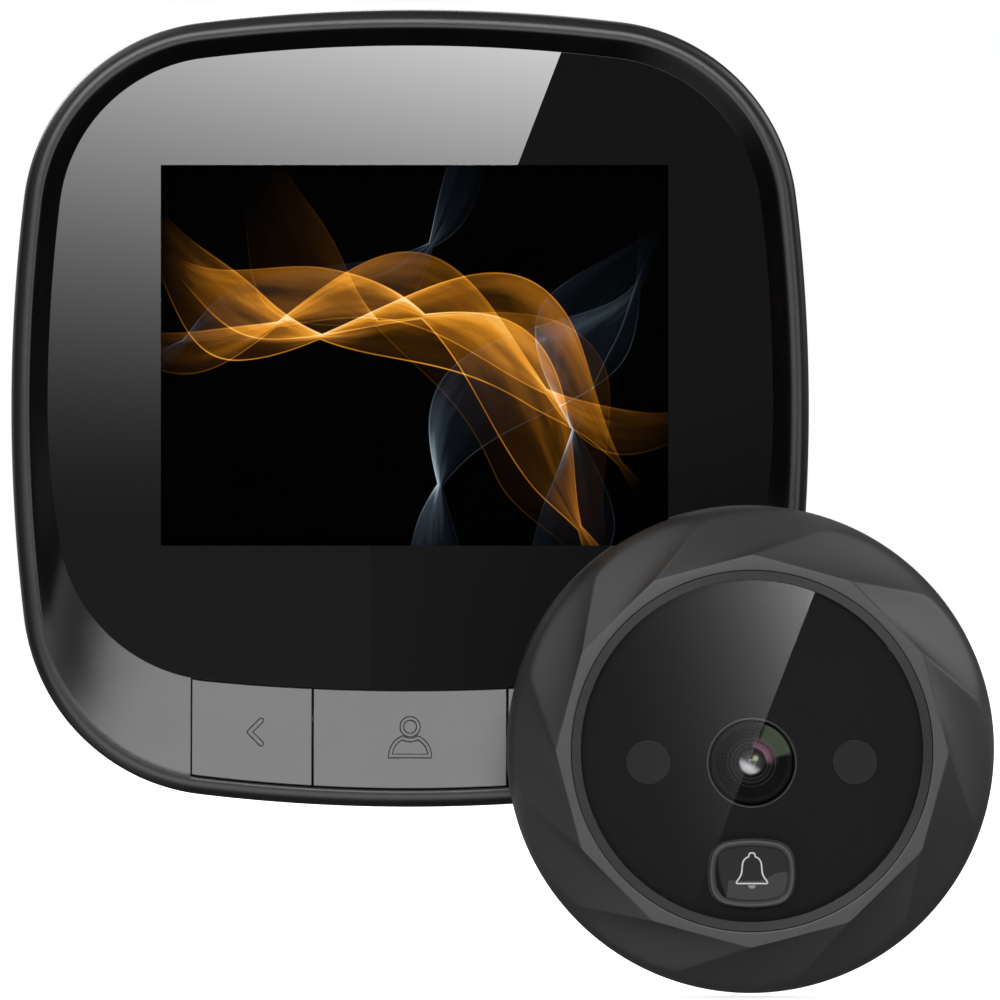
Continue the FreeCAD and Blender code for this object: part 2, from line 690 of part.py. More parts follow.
# Depths that several pieces share
WINDOW_BACK = "(window_front - window_thick)"
DECK_BACK = "(window_front - window_thick - deck_thick)"
KEY_BACK = "(crest - key_depth)"
PANEL_FRONT = "(window_front - window_thick - bond_gap)"
PANEL_BACK = "(window_front - window_thick - bond_gap - panel_thick)"
LIGHT_BACK = "(window_front - window_thick - bond_gap - panel_thick - backlight_thick)"
CRADLE_BACK = "(window_front - window_thick - bond_gap - panel_thick - backlight_thick - cradle_thick)"
MAIN_FRONT = "(main_back + board_thick)"
RECESS_BACK = "(plate_thick + plate_gap)"
RECESS_FRONT = "(plate_thick + plate_gap + recess_wall)"
BACK_INSIDE = "(case_back + back_wall)"

# Places of the display
PANEL_LEFT = "(active_right - active_wide / 2 - panel_margin)"
PANEL_RIGHT = "(active_right + active_wide / 2 + panel_ledge)"
PANEL_LOW = "(active_up - active_high / 2 - panel_margin)"
PANEL_HIGH = "(active_up + active_high / 2 + panel_margin)"
CRADLE_HALF = "(post_side + post_radius + cradle_edge)"

CASE_SCREWS = [("boss_side_up", "boss_side_up"), ("-boss_side_up", "boss_side_up"),
               ("boss_side_low", "boss_low"), ("-boss_side_low", "boss_low")]
BOARD_POSTS = [("post_side", "post_high"), ("-post_side", "post_high"),
               ("post_low_side", "post_low"), ("-post_low_side", "post_low")]
KEYS = [("back", "-(key_split + key_end) / 2", "-key_end", "-(key_split + key_gap / 2)"),
        ("view", "0", "-(key_split - key_gap / 2)", "key_split - key_gap / 2"),
        ("next", "(key_split + key_end) / 2", "key_split + key_gap / 2", "key_end")]


# Places on the outdoor unit, from its axis, and the ledge that its cover lies on
RING_SCREWS = ring_spots("ring_screw_circle", 4, 45)
DISC_POSTS = ring_spots("disc_post_circle", 3, 90)
LAMPS = [("lamp_side", "lamp_up"), ("-lamp_side", "lamp_up")]
LEDGE_FRONT = "(cover_back - mask_thick)"
LEDGE_BACK = "(cover_back - mask_thick - ledge_thick)"

# Main board parts: across, up, width, height, thickness and side, 1 for the front and -1 for the back
CHIPS = [("-(main_half / 4)", "door_hole_up", "processor_side", "processor_side", "chip_thick", 1),
         ("main_half / 5", "door_hole_up + post_inset", "memory_wide", "memory_high", "chip_thick", 1),
         ("main_half / 2", "main_high - coil_side", "power_chip", "power_chip", "chip_thick", -1),
         ("main_half - 3 * post_inset", "main_high - processor_side", "coil_side", "coil_side",
          "coil_thick", -1),
         ("main_half / 3", "main_low + coil_side", "plug_wide", "capacitor_side", "coil_thick", -1),
         ("-(main_half / 3)", "main_high - coil_side", "capacitor_side", "capacitor_side",
          "coil_thick", -1)]


def dish_cutter():
    """The hollow in the front: ruled from the rim's inner line down to the window's outline."""
    body = doc.addObject("PartDesign::Body", "dish")
    upper = sketch_in(body, "XZ_Plane", "crest")
    CASE.inset("rim_width").draw(upper)
    lower = sketch_in(body, "XZ_Plane", "window_front")
    WINDOW.draw(lower)
    loft = body.newObject("PartDesign::AdditiveLoft", "slope")
    loft.Profile = upper
    loft.Sections = [lower]
    loft.Ruled = True
    doc.recompute()
    return body


# Front frame: moulded rim, dish and chin, with the window's ledge, the key opening and the bosses
def front_frame():
    shell = slab(CASE, "parting", "crest")
    round_edges(shell, "front_round", lambda edge: lies_at(edge, value("crest")))
    pocket(shell, CASE.inset("case_wall"), "parting", DECK_BACK)
    key_room = shared(slab(CASE.inset("rim_width"), "parting", "crest"),
                      block("-(key_end + key_gap / 2)", "key_end + key_gap / 2",
                            DECK_BACK, "crest", "-case_half", "-window_drop / 2"))
    key_room = less(key_room, [slab(WINDOW, "parting", "crest")])
    catch_back = KEY_BACK + " - key_travel - key_gap / 2"
    catches = [shared(slab(CASE.inset("rim_width - key_catch - key_gap / 2"), catch_back, DECK_BACK),
                      block(*spans(middle, "key_catch_width / 2 + key_gap / 2"),
                            catch_back, DECK_BACK, "-case_half", "-key_middle"))
               for name, middle, low, high in KEYS]
    rooms = [dish_cutter(),
             slab(WINDOW, WINDOW_BACK, "window_front"),
             slab(WINDOW.inset("window_ledge"), DECK_BACK, WINDOW_BACK),
             block(PANEL_LEFT + " - bond_gap", PANEL_RIGHT + " + bond_gap", DECK_BACK, WINDOW_BACK,
                   PANEL_LOW + " - bond_gap", PANEL_HIGH + " + bond_gap"),
             key_room]
    bosses = [rod("boss_radius", "parting", DECK_BACK, x, z) for x, z in CASE_SCREWS]
    holes = [rod("screw_radius + screw_play", "parting", "screw_tip + screw_play", x, z)
             for x, z in CASE_SCREWS]
    return less(joined([shell] + bosses), rooms + catches + holes)


# Rear case: moulded back shell with the battery bay, the recess for the plate and the wells
def rear_case():
    shell = slab(CASE, "case_back", "parting")
    round_edges(shell, "back_round", lambda edge: lies_at(edge, value("case_back")))
    pocket(shell, CASE.inset("case_wall"), BACK_INSIDE, "parting")
    round_edges(shell, "back_round - back_wall",
                lambda edge: lies_at(edge, value(BACK_INSIDE)))
    low = "cell_middle - cell_pitch - cell_radius - cell_play"
    high = "cell_middle + cell_pitch + cell_radius + cell_play"
    bay = block("-(bay_half + bay_wall)", "bay_half + bay_wall", BACK_INSIDE, "bay_floor + bay_skin",
                low + " - bay_wall", high + " + bay_wall")
    rails = block("-(cover_half + tongue + bay_wall)", "cover_half + tongue + bay_wall",
                  BACK_INSIDE, BACK_INSIDE + " + bay_wall", low + " - bay_wall", "cover_top + tongue")
    plate_wall = block(*spans("0", "plate_half + 2 * plate_gap + case_wall"), BACK_INSIDE, RECESS_FRONT,
                       "plate_low - plate_gap - lift", "plate_high + plate_gap + case_wall")
    bosses = [rod("well_radius + screw_radius", BACK_INSIDE, "parting", x, z) for x, z in CASE_SCREWS]
    solid = joined([shell, bay, rails, plate_wall] + bosses)
    cover_room = block("-(cover_half + cover_gap)", "cover_half + cover_gap", "0", BACK_INSIDE,
                       "-case_half - case_wall", "cover_top + cover_gap")
    grooves = block("-(cover_half + tongue + cover_gap)", "cover_half + tongue + cover_gap",
                    BACK_INSIDE + " - tongue_thick - 2 * cover_gap", BACK_INSIDE,
                    "-case_half - case_wall", "cover_top + cover_gap")
    bay_room = block("-bay_half", "bay_half", "case_back", "bay_floor", low, high)
    return less(solid, [cover_room, grooves, bay_room, plate_room()] + back_holes())


def rounded_plate(margin, below, back, front):
    """The door plate's outline, grown by a margin and downwards, between two depths."""
    body = slab(rectangle("-(plate_half + %s)" % margin, "plate_half + %s" % margin,
                          "plate_low - %s - %s" % (margin, below), "plate_high + %s" % margin),
                back, front)
    round_edges(body, "plate_corner",
                lambda edge: edge.BoundBox.XLength < 0.01 and edge.BoundBox.ZLength < 0.01)
    return body


def plate_room():
    """The recess for the door plate, with its cable window and the slots for the hooks."""
    recess = rounded_plate("plate_gap", "lift", "-plate_gap", RECESS_BACK)
    window = block("-case_window_half", "case_window_half", "0", RECESS_FRONT + " + plate_gap",
                   "door_hole_up - window_half_high", "door_hole_up + window_half_high")
    slots = [block(*spans(x, "hook_half + plate_gap"), "0", RECESS_FRONT + " + plate_gap",
                   "%s - hook_stem - lift - plate_gap" % z, z)
             for x in ("hook_side", "-hook_side") for z in ("hook_high", "hook_low")]
    return joined([recess, window] + slots)


def back_holes():
    """Screw wells, sound holes, and the side slots for the card and the power switch."""
    wells = [rod("well_radius", "0", "well_seat", x, z) for x, z in CASE_SCREWS]
    shafts = [rod("screw_radius + 3 * screw_play", "0", "parting", x, z) for x, z in CASE_SCREWS]
    spots = [("0", "0")] + ring_spots("grille_ring", 8, 0) + ring_spots("grille_ring / 2", 4, 45)
    sound = [rod("grille_hole", "0", BACK_INSIDE, "-speaker_side + " + x, "speaker_up + " + z)
             for x, z in spots]
    card = block("-case_half - case_wall", "-case_half + 2 * case_wall",
                 "card_depth - cover_gap", "card_depth + card_thick + cover_gap",
                 "card_up - card_wide / 2 - cover_gap", "card_up + card_wide / 2 + cover_gap")
    knob = block("case_half - 2 * case_wall", "case_half + case_wall",
                 "knob_depth - cover_gap", "knob_depth + knob_deep + cover_gap",
                 "knob_up - knob_wide / 2 - cover_gap",
                 "knob_up + knob_wide / 2 + knob_travel + cover_gap")
    return wells + shafts + sound + [card, knob]


# Keys: the chin's block between the window and the rim, cut into three and hollowed for a switch
def key_caps():
    chin = less(slab(CASE.inset("rim_width + key_gap / 2"), KEY_BACK, "crest"),
                [slab(WINDOW.inset("-key_gap / 2"), "parting", "crest + deck_thick"), dish_cutter()])
    lower_lip = slab(CASE.inset("rim_width - key_catch"), KEY_BACK, DECK_BACK + " - bond_gap")
    upper_lip = slab(WINDOW.inset("key_catch"), "parting", "crest")
    caps = {}
    for name, middle, low, high in KEYS:
        cap = shared(chin, block(low, high, KEY_BACK, "crest", "-case_half", "-window_drop / 2"))
        tab = less(shared(lower_lip, block(*spans(middle, "key_catch_width / 2"), KEY_BACK, DECK_BACK,
                                           "-case_half", "-window_drop / 2")), [upper_lip])
        room = block(*spans(middle, "switch_side / 2 + key_gap"),
                     KEY_BACK, "key_board_front + plunger_height",
                     *spans("-key_middle", "switch_side / 2 + key_gap"))
        caps[name] = less(joined([cap, tab]), [room])
    return caps


def bar(radius, low_x, high_x, depth, z):
    """A round bar along X."""
    solid = doc.addObject("Part::Cylinder", "bar")
    solid.setExpression("Radius", bound(radius))
    solid.setExpression("Height", bound("(%s) - (%s)" % (high_x, low_x)))
    solid.Placement.Rotation = FreeCAD.Rotation(Vector(0, 1, 0), 90)
    place(solid, low_x, "-(%s)" % depth, z)
    return solid


GRIP_GROOVES = 5


# Battery cover: the casing's lower back, with tongues at its sides and a ribbed thumb grip
def battery_cover():
    outside = slab(CASE, "case_back", "parting")
    round_edges(outside, "back_round", lambda edge: lies_at(edge, value("case_back")))
    lid = shared(outside, block("-cover_half", "cover_half", "0", "case_back + cover_thick",
                                "-case_half - case_wall", "cover_top"))
    tongues = block("-(cover_half + tongue)", "cover_half + tongue",
                    BACK_INSIDE + " - tongue_thick - cover_gap", BACK_INSIDE + " - cover_gap",
                    "-case_half + 2 * back_round", "cover_top - tongue")
    grip = [block("-grip_half", "grip_half", "0", "case_back + grip_deep",
                  "cover_top - grip_drop - %d * grip_pitch" % k,
                  "cover_top - grip_drop - %d * grip_pitch + grip_pitch / 2" % k)
            for k in range(GRIP_GROOVES)]
    return less(joined([lid, tongues]), grip)


# Batteries: three cells, the middle one the other way round, each a can with its nub
def battery_cell(row):
    z = "cell_middle + %d * cell_pitch" % (row - 1)
    depth = "bay_floor - cell_play - cell_radius"
    nub_side = -1 if row == 1 else 1
    near = "-(bay_half - contact_thick)" if nub_side < 0 else "bay_half - contact_thick"
    if nub_side < 0:
        can = bar("cell_radius", near + " + nub_long", near + " + cell_long", depth, z)
        nub = bar("nub_radius", near, near + " + nub_long", depth, z)
    else:
        can = bar("cell_radius", near + " - cell_long", near + " - nub_long", depth, z)
        nub = bar("nub_radius", near + " - nub_long", near, depth, z)
    return joined([can, nub])


def battery_contacts():
    """Spring-steel plates at both ends of the bay; two of the four link neighbouring cells."""
    depth = ("bay_floor - cell_radius - contact_half", "bay_floor - cell_radius + contact_half")
    plates = []
    for side, first, last in ((-1, 0, 0), (-1, 1, 2), (1, 0, 1), (1, 2, 2)):
        low_x = "-bay_half" if side < 0 else "bay_half - contact_thick"
        high_x = "-bay_half + contact_thick" if side < 0 else "bay_half"
        plates.append(block(low_x, high_x, depth[0], depth[1],
                            "cell_middle + %d * cell_pitch - contact_half" % (first - 1),
                            "cell_middle + %d * cell_pitch + contact_half" % (last - 1)))
    return grouped(plates)


def biarc(start, start_way, stop, stop_way):
    """Two arcs from one point to another that keep both directions, as edges."""
    chord = stop - start
    ways = start_way + stop_way
    turn = 2 * (1 - start_way.dot(stop_way))
    along = chord.dot(ways)
    reach = (math.sqrt(along ** 2 + turn * chord.dot(chord)) - along) / turn
    first = start + start_way * reach
    second = stop - stop_way * reach
    middle = (first + second) * 0.5
    edges = []
    for one, corner, two in ((start, first, middle), (middle, second, stop)):
        half = (two - one).Length / 2
        centre = (one + two) * 0.5
        rise = (corner - centre).Length
        sag = half * math.tan(math.atan2(rise, half) / 2)
        edges.append(Part.Arc(one, centre + (corner - centre).normalize() * sag, two).toShape())
    return edges


def coil(low_x, high_x, radius, wire, depth, z, turns):
    """A coil spring along X: one tube on two arcs for each quarter of a turn."""
    steps = 4 * turns
    slope = (high_x - low_x) / (2 * math.pi * turns)

    def spot(step):
        angle = math.pi / 2 * step
        return Vector(low_x + slope * angle, -depth + radius * math.cos(angle),
                      z + radius * math.sin(angle))

    def way(step):
        angle = math.pi / 2 * step
        return Vector(slope, -radius * math.sin(angle), radius * math.cos(angle)).normalize()

    edges = []
    for step in range(steps):
        edges += biarc(spot(step), way(step), spot(step + 1), way(step + 1))
    section = Part.Wire(Part.makeCircle(wire, spot(0), way(0)))
    return Part.Wire(edges).makePipeShell([section], True, False)


SPRING_TURNS = 3


def battery_springs():
    """The three springs that press on the flat ends of the cells."""
    wire = value("spring_wire")
    tubes = []
    for row in range(3):
        plate = value("bay_half - contact_thick") - wire - value("spring_gap")
        cell = value("bay_half - contact_thick - cell_long") * -1
        ends = (-plate, -cell - wire - value("spring_gap"))
        if row == 1:
            ends = (-ends[1], -ends[0])
        tubes.append(coil(*ends, value("spring_radius"), wire,
                          value("bay_floor - cell_play - cell_radius"),
                          value("cell_middle + %d * cell_pitch" % (row - 1)), SPRING_TURNS))
    springs = doc.addObject("Part::Feature", "springs")
    springs.Shape = Part.makeCompound(tubes)
    return springs


# Display: bonded window, liquid crystal glass with its driver ledge, backlight, cradle, flat tail
def display():
    name_node(slab(WINDOW.inset("bond_gap"), WINDOW_BACK, "window_front"), "display_window")
    name_node(block(PANEL_LEFT, PANEL_RIGHT, PANEL_BACK, PANEL_FRONT, PANEL_LOW, PANEL_HIGH),
              "lcd_panel")
    name_node(block(PANEL_LEFT, PANEL_RIGHT + " - panel_ledge / 2", LIGHT_BACK, PANEL_BACK,
                    PANEL_LOW, PANEL_HIGH), "lcd_backlight")
    name_node(cradle(), "lcd_cradle")
    outside = CRADLE_HALF + " + cradle_rim"
    low = "active_up + active_high / 4 - flex_wide / 2"
    high = "active_up + active_high / 4 + flex_wide / 2"
    tail = "(main_back + board_thick + lcd_socket_high)"
    straps = [block(PANEL_RIGHT + " - panel_ledge / 3", outside + " + flex_thick",
                    PANEL_BACK + " - flex_thick", PANEL_BACK, low, high),
              block(outside, outside + " + flex_thick", tail, PANEL_BACK, low, high),
              block("lcd_socket_side", outside + " + flex_thick", tail, tail + " + flex_thick", low, high)]
    name_node(joined(straps), "lcd_flex")


def cradle():
    """A plate with two windows and four hollow posts for the main board."""
    plate = shared(block(*spans("0", CRADLE_HALF), CRADLE_BACK, LIGHT_BACK,
                         PANEL_LOW + " - cradle_rim", "post_high + post_radius + cradle_edge"),
                   slab(CASE.inset("case_wall + plate_gap"), CRADLE_BACK, LIGHT_BACK))
    posts = [rod("post_radius", MAIN_FRONT, CRADLE_BACK, x, z) for x, z in BOARD_POSTS]
    pilots = [rod("small_screw + screw_play", MAIN_FRONT, LIGHT_BACK, x, z) for x, z in BOARD_POSTS]
    upper = block(PANEL_LEFT + " + cradle_rib", PANEL_RIGHT + " - cradle_rib", CRADLE_BACK, LIGHT_BACK,
                  "post_low + cradle_rib", PANEL_HIGH + " - cradle_rib")
    lower = block(PANEL_LEFT + " + cradle_rib", PANEL_RIGHT + " - cradle_rib", CRADLE_BACK, LIGHT_BACK,
                  PANEL_LOW + " + cradle_rib", "post_low - cradle_rib / 2")
    return less(joined([plate] + posts), [upper, lower] + pilots)


# Boards: the main board on the cradle's posts and the key board behind the chin
def boards():
    main = slab(rectangle("-main_half", "main_half", "main_low", "main_high"), "main_back", MAIN_FRONT)
    drill(main, "small_screw + 3 * screw_play", "main_back", MAIN_FRONT, BOARD_POSTS)
    name_node(main, "main_board")
    chips = [block("lcd_socket_side", "lcd_socket_side + lcd_socket_wide", MAIN_FRONT,
                   MAIN_FRONT + " + lcd_socket_high",
                   "active_up + active_high / 4 - flex_wide / 2 - socket_wall",
                   "active_up + active_high / 4 + flex_wide / 2 + socket_wall")]
    for x, z, wide, high, thick, side in CHIPS:
        back = "%s" % MAIN_FRONT if side > 0 else "main_back - %s" % thick
        front = "%s + %s" % (MAIN_FRONT, thick) if side > 0 else "main_back"
        chips.append(block("%s - %s / 2" % (x, wide), "%s + %s / 2" % (x, wide), back, front,
                           "%s - %s / 2" % (z, high), "%s + %s / 2" % (z, high)))
    name_node(grouped(chips), "main_board_chips")
    name_node(block("-(key_end + key_board_end)", "key_end + key_board_end",
                    "key_board_front - board_thick", "key_board_front",
                    "-(key_middle + key_board_low)", "-(key_middle - key_board_low)"), "key_board")
    heads = [rod("small_head", "main_back - small_head_high", "main_back", x, z) for x, z in BOARD_POSTS]
    shanks = [rod("small_screw", "main_back", MAIN_FRONT + " + post_radius", x, z) for x, z in BOARD_POSTS]
    name_node(grouped([joined([a, b]) for a, b in zip(heads, shanks)]), "board_screws")


# Key switches: square bodies with a bore; each plunger goes with its key
def key_switches():
    bodies = []
    for name, middle, low, high in KEYS:
        base = block(*spans(middle, "switch_side / 2"),
                     "key_board_front", "key_board_front + switch_height",
                     *spans("-key_middle", "switch_side / 2"))
        bore = rod("plunger_radius + screw_play", "key_board_front + switch_height / 5",
                   "key_board_front + switch_height", middle, "-key_middle")
        bodies.append(less(base, [bore]))
        name_node(rod("plunger_radius", "key_board_front + switch_height / 5 + key_travel + bond_gap",
                      "key_board_front + plunger_height", middle, "-key_middle"), "key_plunger_" + name)
    name_node(grouped(bodies), "key_switches")


# Speaker: a pressed basket, its magnet and a paper cone, facing the sound holes
def speaker():
    lip = BACK_INSIDE + " + cover_gap"
    spot = ("-speaker_side", "speaker_up")
    rim_inside = "speaker_radius - basket_wall"
    neck = "speaker_radius - 3 * basket_wall"
    basket = [(rim_inside, lip + " + basket_high"),
              (neck, lip + " + basket_back"),
              ("magnet_radius + screw_play", lip + " + basket_back"),
              ("magnet_radius + screw_play", lip + " + basket_back - basket_sheet"),
              (neck, lip + " + basket_back - basket_sheet"),
              (rim_inside, lip + " + basket_high - basket_sheet"),
              (rim_inside, lip),
              ("speaker_radius", lip),
              ("speaker_radius", lip + " + basket_high")]
    name_node(turned(basket, *spot), "speaker_basket")
    name_node(rod("magnet_radius", lip + " + magnet_back", lip + " + speaker_deep", *spot),
              "speaker_magnet")
    cone = [("0", lip + " + cone_cap - cone_thick"),
            ("magnet_radius / 2", lip + " + cone_neck - cone_thick"),
            (rim_inside + " - screw_play", lip + " + cone_edge - cone_thick"),
            (rim_inside + " - screw_play", lip + " + cone_edge"),
            ("magnet_radius / 2", lip + " + cone_neck"),
            ("0", lip + " + cone_cap")]
    name_node(turned(cone, *spot), "speaker_cone")


# Power switch, card socket and link socket: bought parts on the main board's edge and back
def board_sockets():
    middle = "knob_up + knob_travel / 2"
    body = block("slider_out - slider_deep", "slider_out", "knob_depth - socket_wall", "main_back",
                 middle + " - slider_half", middle + " + slider_half")
    room = block("slider_out - slider_deep / 3", "slider_out", "knob_depth - bond_gap",
                 "knob_depth + knob_deep + bond_gap", "knob_up - knob_wide / 2 - bond_gap",
                 "knob_up + knob_wide / 2 + knob_travel + bond_gap")
    name_node(less(body, [room]), "power_switch_body")
    name_node(block("slider_out - slider_deep / 3 + bond_gap", "case_half + knob_proud", "knob_depth",
                    "knob_depth + knob_deep", "knob_up - knob_wide / 2", "knob_up + knob_wide / 2"),
              "power_switch_knob")
    edge = "-(case_half - card_inset)"
    shell = block(edge + " + 2 * card_inset + bond_gap", edge + " + card_long + socket_wall",
                  "socket_back", "main_back", "card_up - card_wide / 2 - socket_wall",
                  "card_up + card_wide / 2 + socket_wall")
    mouth = block(edge, edge + " + card_long + bond_gap", "card_depth - bond_gap",
                  "card_depth + card_thick + bond_gap", "card_up - card_wide / 2 - bond_gap",
                  "card_up + card_wide / 2 + bond_gap")
    name_node(less(shell, [mouth]), "card_socket")
    name_node(block(edge, edge + " + card_long", "card_depth", "card_depth + card_thick",
                    "card_up - card_wide / 2", "card_up + card_wide / 2"), "memory_card")
    housing = block("-link_half", "link_half", "main_back - link_deep", "main_back",
                    "door_hole_up - link_half_high", "door_hole_up + link_half_high")
    slot = block("-link_half + socket_wall", "link_half - socket_wall", "main_back - link_deep",
                 "main_back - link_deep / 3", "door_hole_up - link_half_high / 3",
                 "door_hole_up + link_half_high / 3")
    name_node(less(housing, [slot]), "link_socket")


# Casing screws: pan heads in the wells, shanks through the rear case into the front frame
def case_screws():
    screws = []
    for x, z in CASE_SCREWS:
        head = rod("screw_head_radius", "well_seat - screw_head_high", "well_seat", x, z)
        shank = rod("screw_radius", "well_seat", "screw_tip", x, z)
        screws.append(joined([head, shank]))
    return grouped(screws)


# Door plate: stamped steel with a cable window, two clamp holes and four bent hooks
def door_plate():
    plate = rounded_plate("0", "0", "0", "plate_thick")
    drill(plate, "clamp_hole", "0", "plate_thick",
          [("clamp_half", "door_hole_up"), ("-clamp_half", "door_hole_up")])
    pocket(plate, rectangle("-plate_window_half", "plate_window_half",
                            "door_hole_up - window_half_high", "door_hole_up + window_half_high"),
           "0", "plate_thick")
    hooks = []
    for x in ("hook_side", "-hook_side"):
        for z in ("hook_high", "hook_low"):
            sides = spans(x, "hook_half")
            tip = RECESS_FRONT + " + hook_gap"
            hooks.append(block(*sides, "plate_thick", tip + " + hook_stem", z + " - hook_stem", z))
            hooks.append(block(*sides, tip, tip + " + hook_stem", z + " - hook_stem", z + " + hook_lip"))
    return joined([plate] + hooks)


def at_unit(across, up):
    """A place given from the outdoor unit's axis, in the frame of the whole."""
    return "unit_right + " + across, "unit_up + " + up


FACETS = 12


# Outdoor unit's ring: a turned shoulder cut by twelve facets whose ridges turn clockwise outwards
def bezel_ring():
    shoulder = turned([("trim_outer", "unit_front"), ("ring_edge", "unit_front", "ring_bow"),
                       ("unit_radius", "unit_waist", "foot_bow"), ("unit_foot", "housing_front"),
                       ("cavity_radius", "housing_front"), ("cavity_radius", LEDGE_BACK),
                       ("ledge_inner", LEDGE_BACK), ("ledge_inner", LEDGE_FRONT),
                       ("trim_outer", LEDGE_FRONT)], *UNIT)
    polygons = []
    for radius, depth, turn in (("plateau_corner", "unit_front", 0),
                                ("ridge_reach", "ridge_foot", value("ridge_turn"))):
        polygon = doc.addObject("Part::RegularPolygon", "facets")
        polygon.Polygon = FACETS
        polygon.setExpression("Circumradius", bound(radius))
        upright = FreeCAD.Rotation(Vector(1, 0, 0), 90)
        polygon.Placement.Rotation = upright.multiply(FreeCAD.Rotation(Vector(0, 0, 1), -turn))
        place(polygon, "unit_right", "-" + depth, "unit_up")
        polygons.append(polygon)
    facets = doc.addObject("Part::Loft", "facets")
    facets.Sections = polygons
    facets.Solid = True
    facets.Ruled = True
    below = rod("ridge_reach + rim_width", "housing_front - deck_thick", "ridge_foot", *UNIT)
    notch = block(*spans("unit_right", "bell_half + bell_flange + 2 * bell_play"),
                  LEDGE_BACK, LEDGE_FRONT,
                  "unit_up + bell_up - bell_high - bell_flange - 2 * bell_play", "unit_up + bell_up")
    holes = [rod("small_screw + screw_play", "housing_front",
                 "housing_front + ring_screw_long", *at_unit(x, z)) for x, z in RING_SCREWS]
    return less(shared(shoulder, joined([facets, below])), [notch] + holes)


# Rear housing: flange, spigot for the hole in the door, board posts, seal groove and ribbon slot
def rear_housing():
    solid = turned([("0", "housing_front"), ("unit_foot", "housing_front"),
                    ("housing_edge", "unit_back"), ("spigot_radius", "unit_back"),
                    ("spigot_radius", "unit_back - spigot_long"), ("0", "unit_back - spigot_long")], *UNIT)
    posts = [rod("disc_post_radius", "unit_back + deck_thick", "disc_back", *at_unit(x, z))
             for x, z in DISC_POSTS]
    pilots = [rod("small_screw + screw_play", "housing_front - deck_thick / 2", "disc_back", *at_unit(x, z))
              for x, z in DISC_POSTS]
    slot = block(*spans("unit_right", "slot_half"), "unit_back - spigot_long", "housing_front",
                 *spans("unit_up", "slot_high"))
    inserts = [rod("insert_radius", "unit_back - spigot_long", "unit_back - spigot_long + insert_long",
                   "unit_right + " + side, "unit_up") for side in ("clamp_half", "-clamp_half")]
    groove = turned([("seal_radius - seal_wire - screw_play", "housing_front"),
                     ("seal_radius + seal_wire + screw_play", "housing_front"),
                     ("seal_radius + seal_wire + screw_play", "housing_front - seal_groove"),
                     ("seal_radius - seal_wire - screw_play", "housing_front - seal_groove")], *UNIT)
    wells = [rod("small_head + 2 * screw_play", "unit_back - deck_thick",
                 "unit_back + small_head_high", *at_unit(x, z)) for x, z in RING_SCREWS]
    shafts = [rod("small_screw + 2 * screw_play", "unit_back", "housing_front", *at_unit(x, z))
              for x, z in RING_SCREWS]
    return less(joined([solid] + posts), [slot, groove] + inserts + pilots + wells + shafts)


def clamp_inserts():
    """Two brass inserts with an M3 core hole, pressed into the end of the spigot."""
    ends = ("unit_back - spigot_long", "unit_back - spigot_long + insert_long")
    inserts = []
    for side in ("clamp_half", "-clamp_half"):
        body = rod("insert_radius", *ends, "unit_right + " + side, "unit_up")
        core = rod("insert_bore", *ends, "unit_right + " + side, "unit_up")
        inserts.append(less(body, [core]))
    return grouped(inserts)


def seal_ring():
    """A rubber ring in the rear housing's groove, pressed by the front ring."""
    ring = doc.addObject("Part::Torus", "seal")
    ring.setExpression("Radius1", bound("seal_radius"))
    ring.setExpression("Radius2", bound("seal_wire"))
    ring.Placement.Rotation = FreeCAD.Rotation(Vector(1, 0, 0), 90)
    place(ring, "unit_right", "-(housing_front - seal_groove + seal_wire + screw_play / 5)", "unit_up")
    return ring


def foam_ring():
    """Closed-cell foam stuck on the rear housing, which seals against the door."""
    return turned([("foam_inner", "unit_back"), ("foam_outer", "unit_back"),
                   ("foam_outer", "unit_back - foam_thick"), ("foam_inner", "unit_back - foam_thick")],
                  *UNIT)


def small_screws(spots, seat, tip, head_forward):
    """Small screws along Y with their heads on a seat."""
    screws = []
    for x, z in spots:
        head = ((seat, seat + " + small_head_high") if head_forward
                else (seat + " - small_head_high", seat))
        shank = (tip, seat) if head_forward else (seat, tip)
        screws.append(joined([rod("small_head", *head, *at_unit(x, z)),
                              rod("small_screw", *shank, *at_unit(x, z))]))
    return grouped(screws)


# Cover: trim ring, clear cover glass with the button's opening, black mask and its lamp windows
def outdoor_cover():
    name_node(turned([("trim_inner", LEDGE_FRONT), ("trim_outer - screw_play", LEDGE_FRONT),
                      ("trim_outer - screw_play", "unit_front - bond_gap"),
                      ("trim_inner", "trim_front_in")][::-1], *UNIT), "trim_ring")
    glass = rod("trim_inner - screw_play", "cover_back", "cover_back + cover_thick_out", *UNIT)
    opening = slab(BELL.inset("-bell_play"), LEDGE_BACK, "unit_front")
    name_node(less(glass, [opening]), "cover_glass")
    mask = rod("trim_inner - screw_play", "cover_back - mask_thick", "cover_back", *UNIT)
    eye = rod("eye_window", LEDGE_BACK, "unit_front", "unit_right", "unit_up + eye_up")
    lamps = [rod("lamp_radius + screw_play", LEDGE_BACK, "unit_front", *at_unit(x, z)) for x, z in LAMPS]
    name_node(less(mask, [slab(BELL.inset("-bell_play"), LEDGE_BACK, "unit_front"), eye] + lamps),
              "window_mask")
    name_node(grouped([rod("lamp_radius", "cover_back - mask_thick", "cover_back", *at_unit(x, z))
                       for x, z in LAMPS]), "ir_windows")


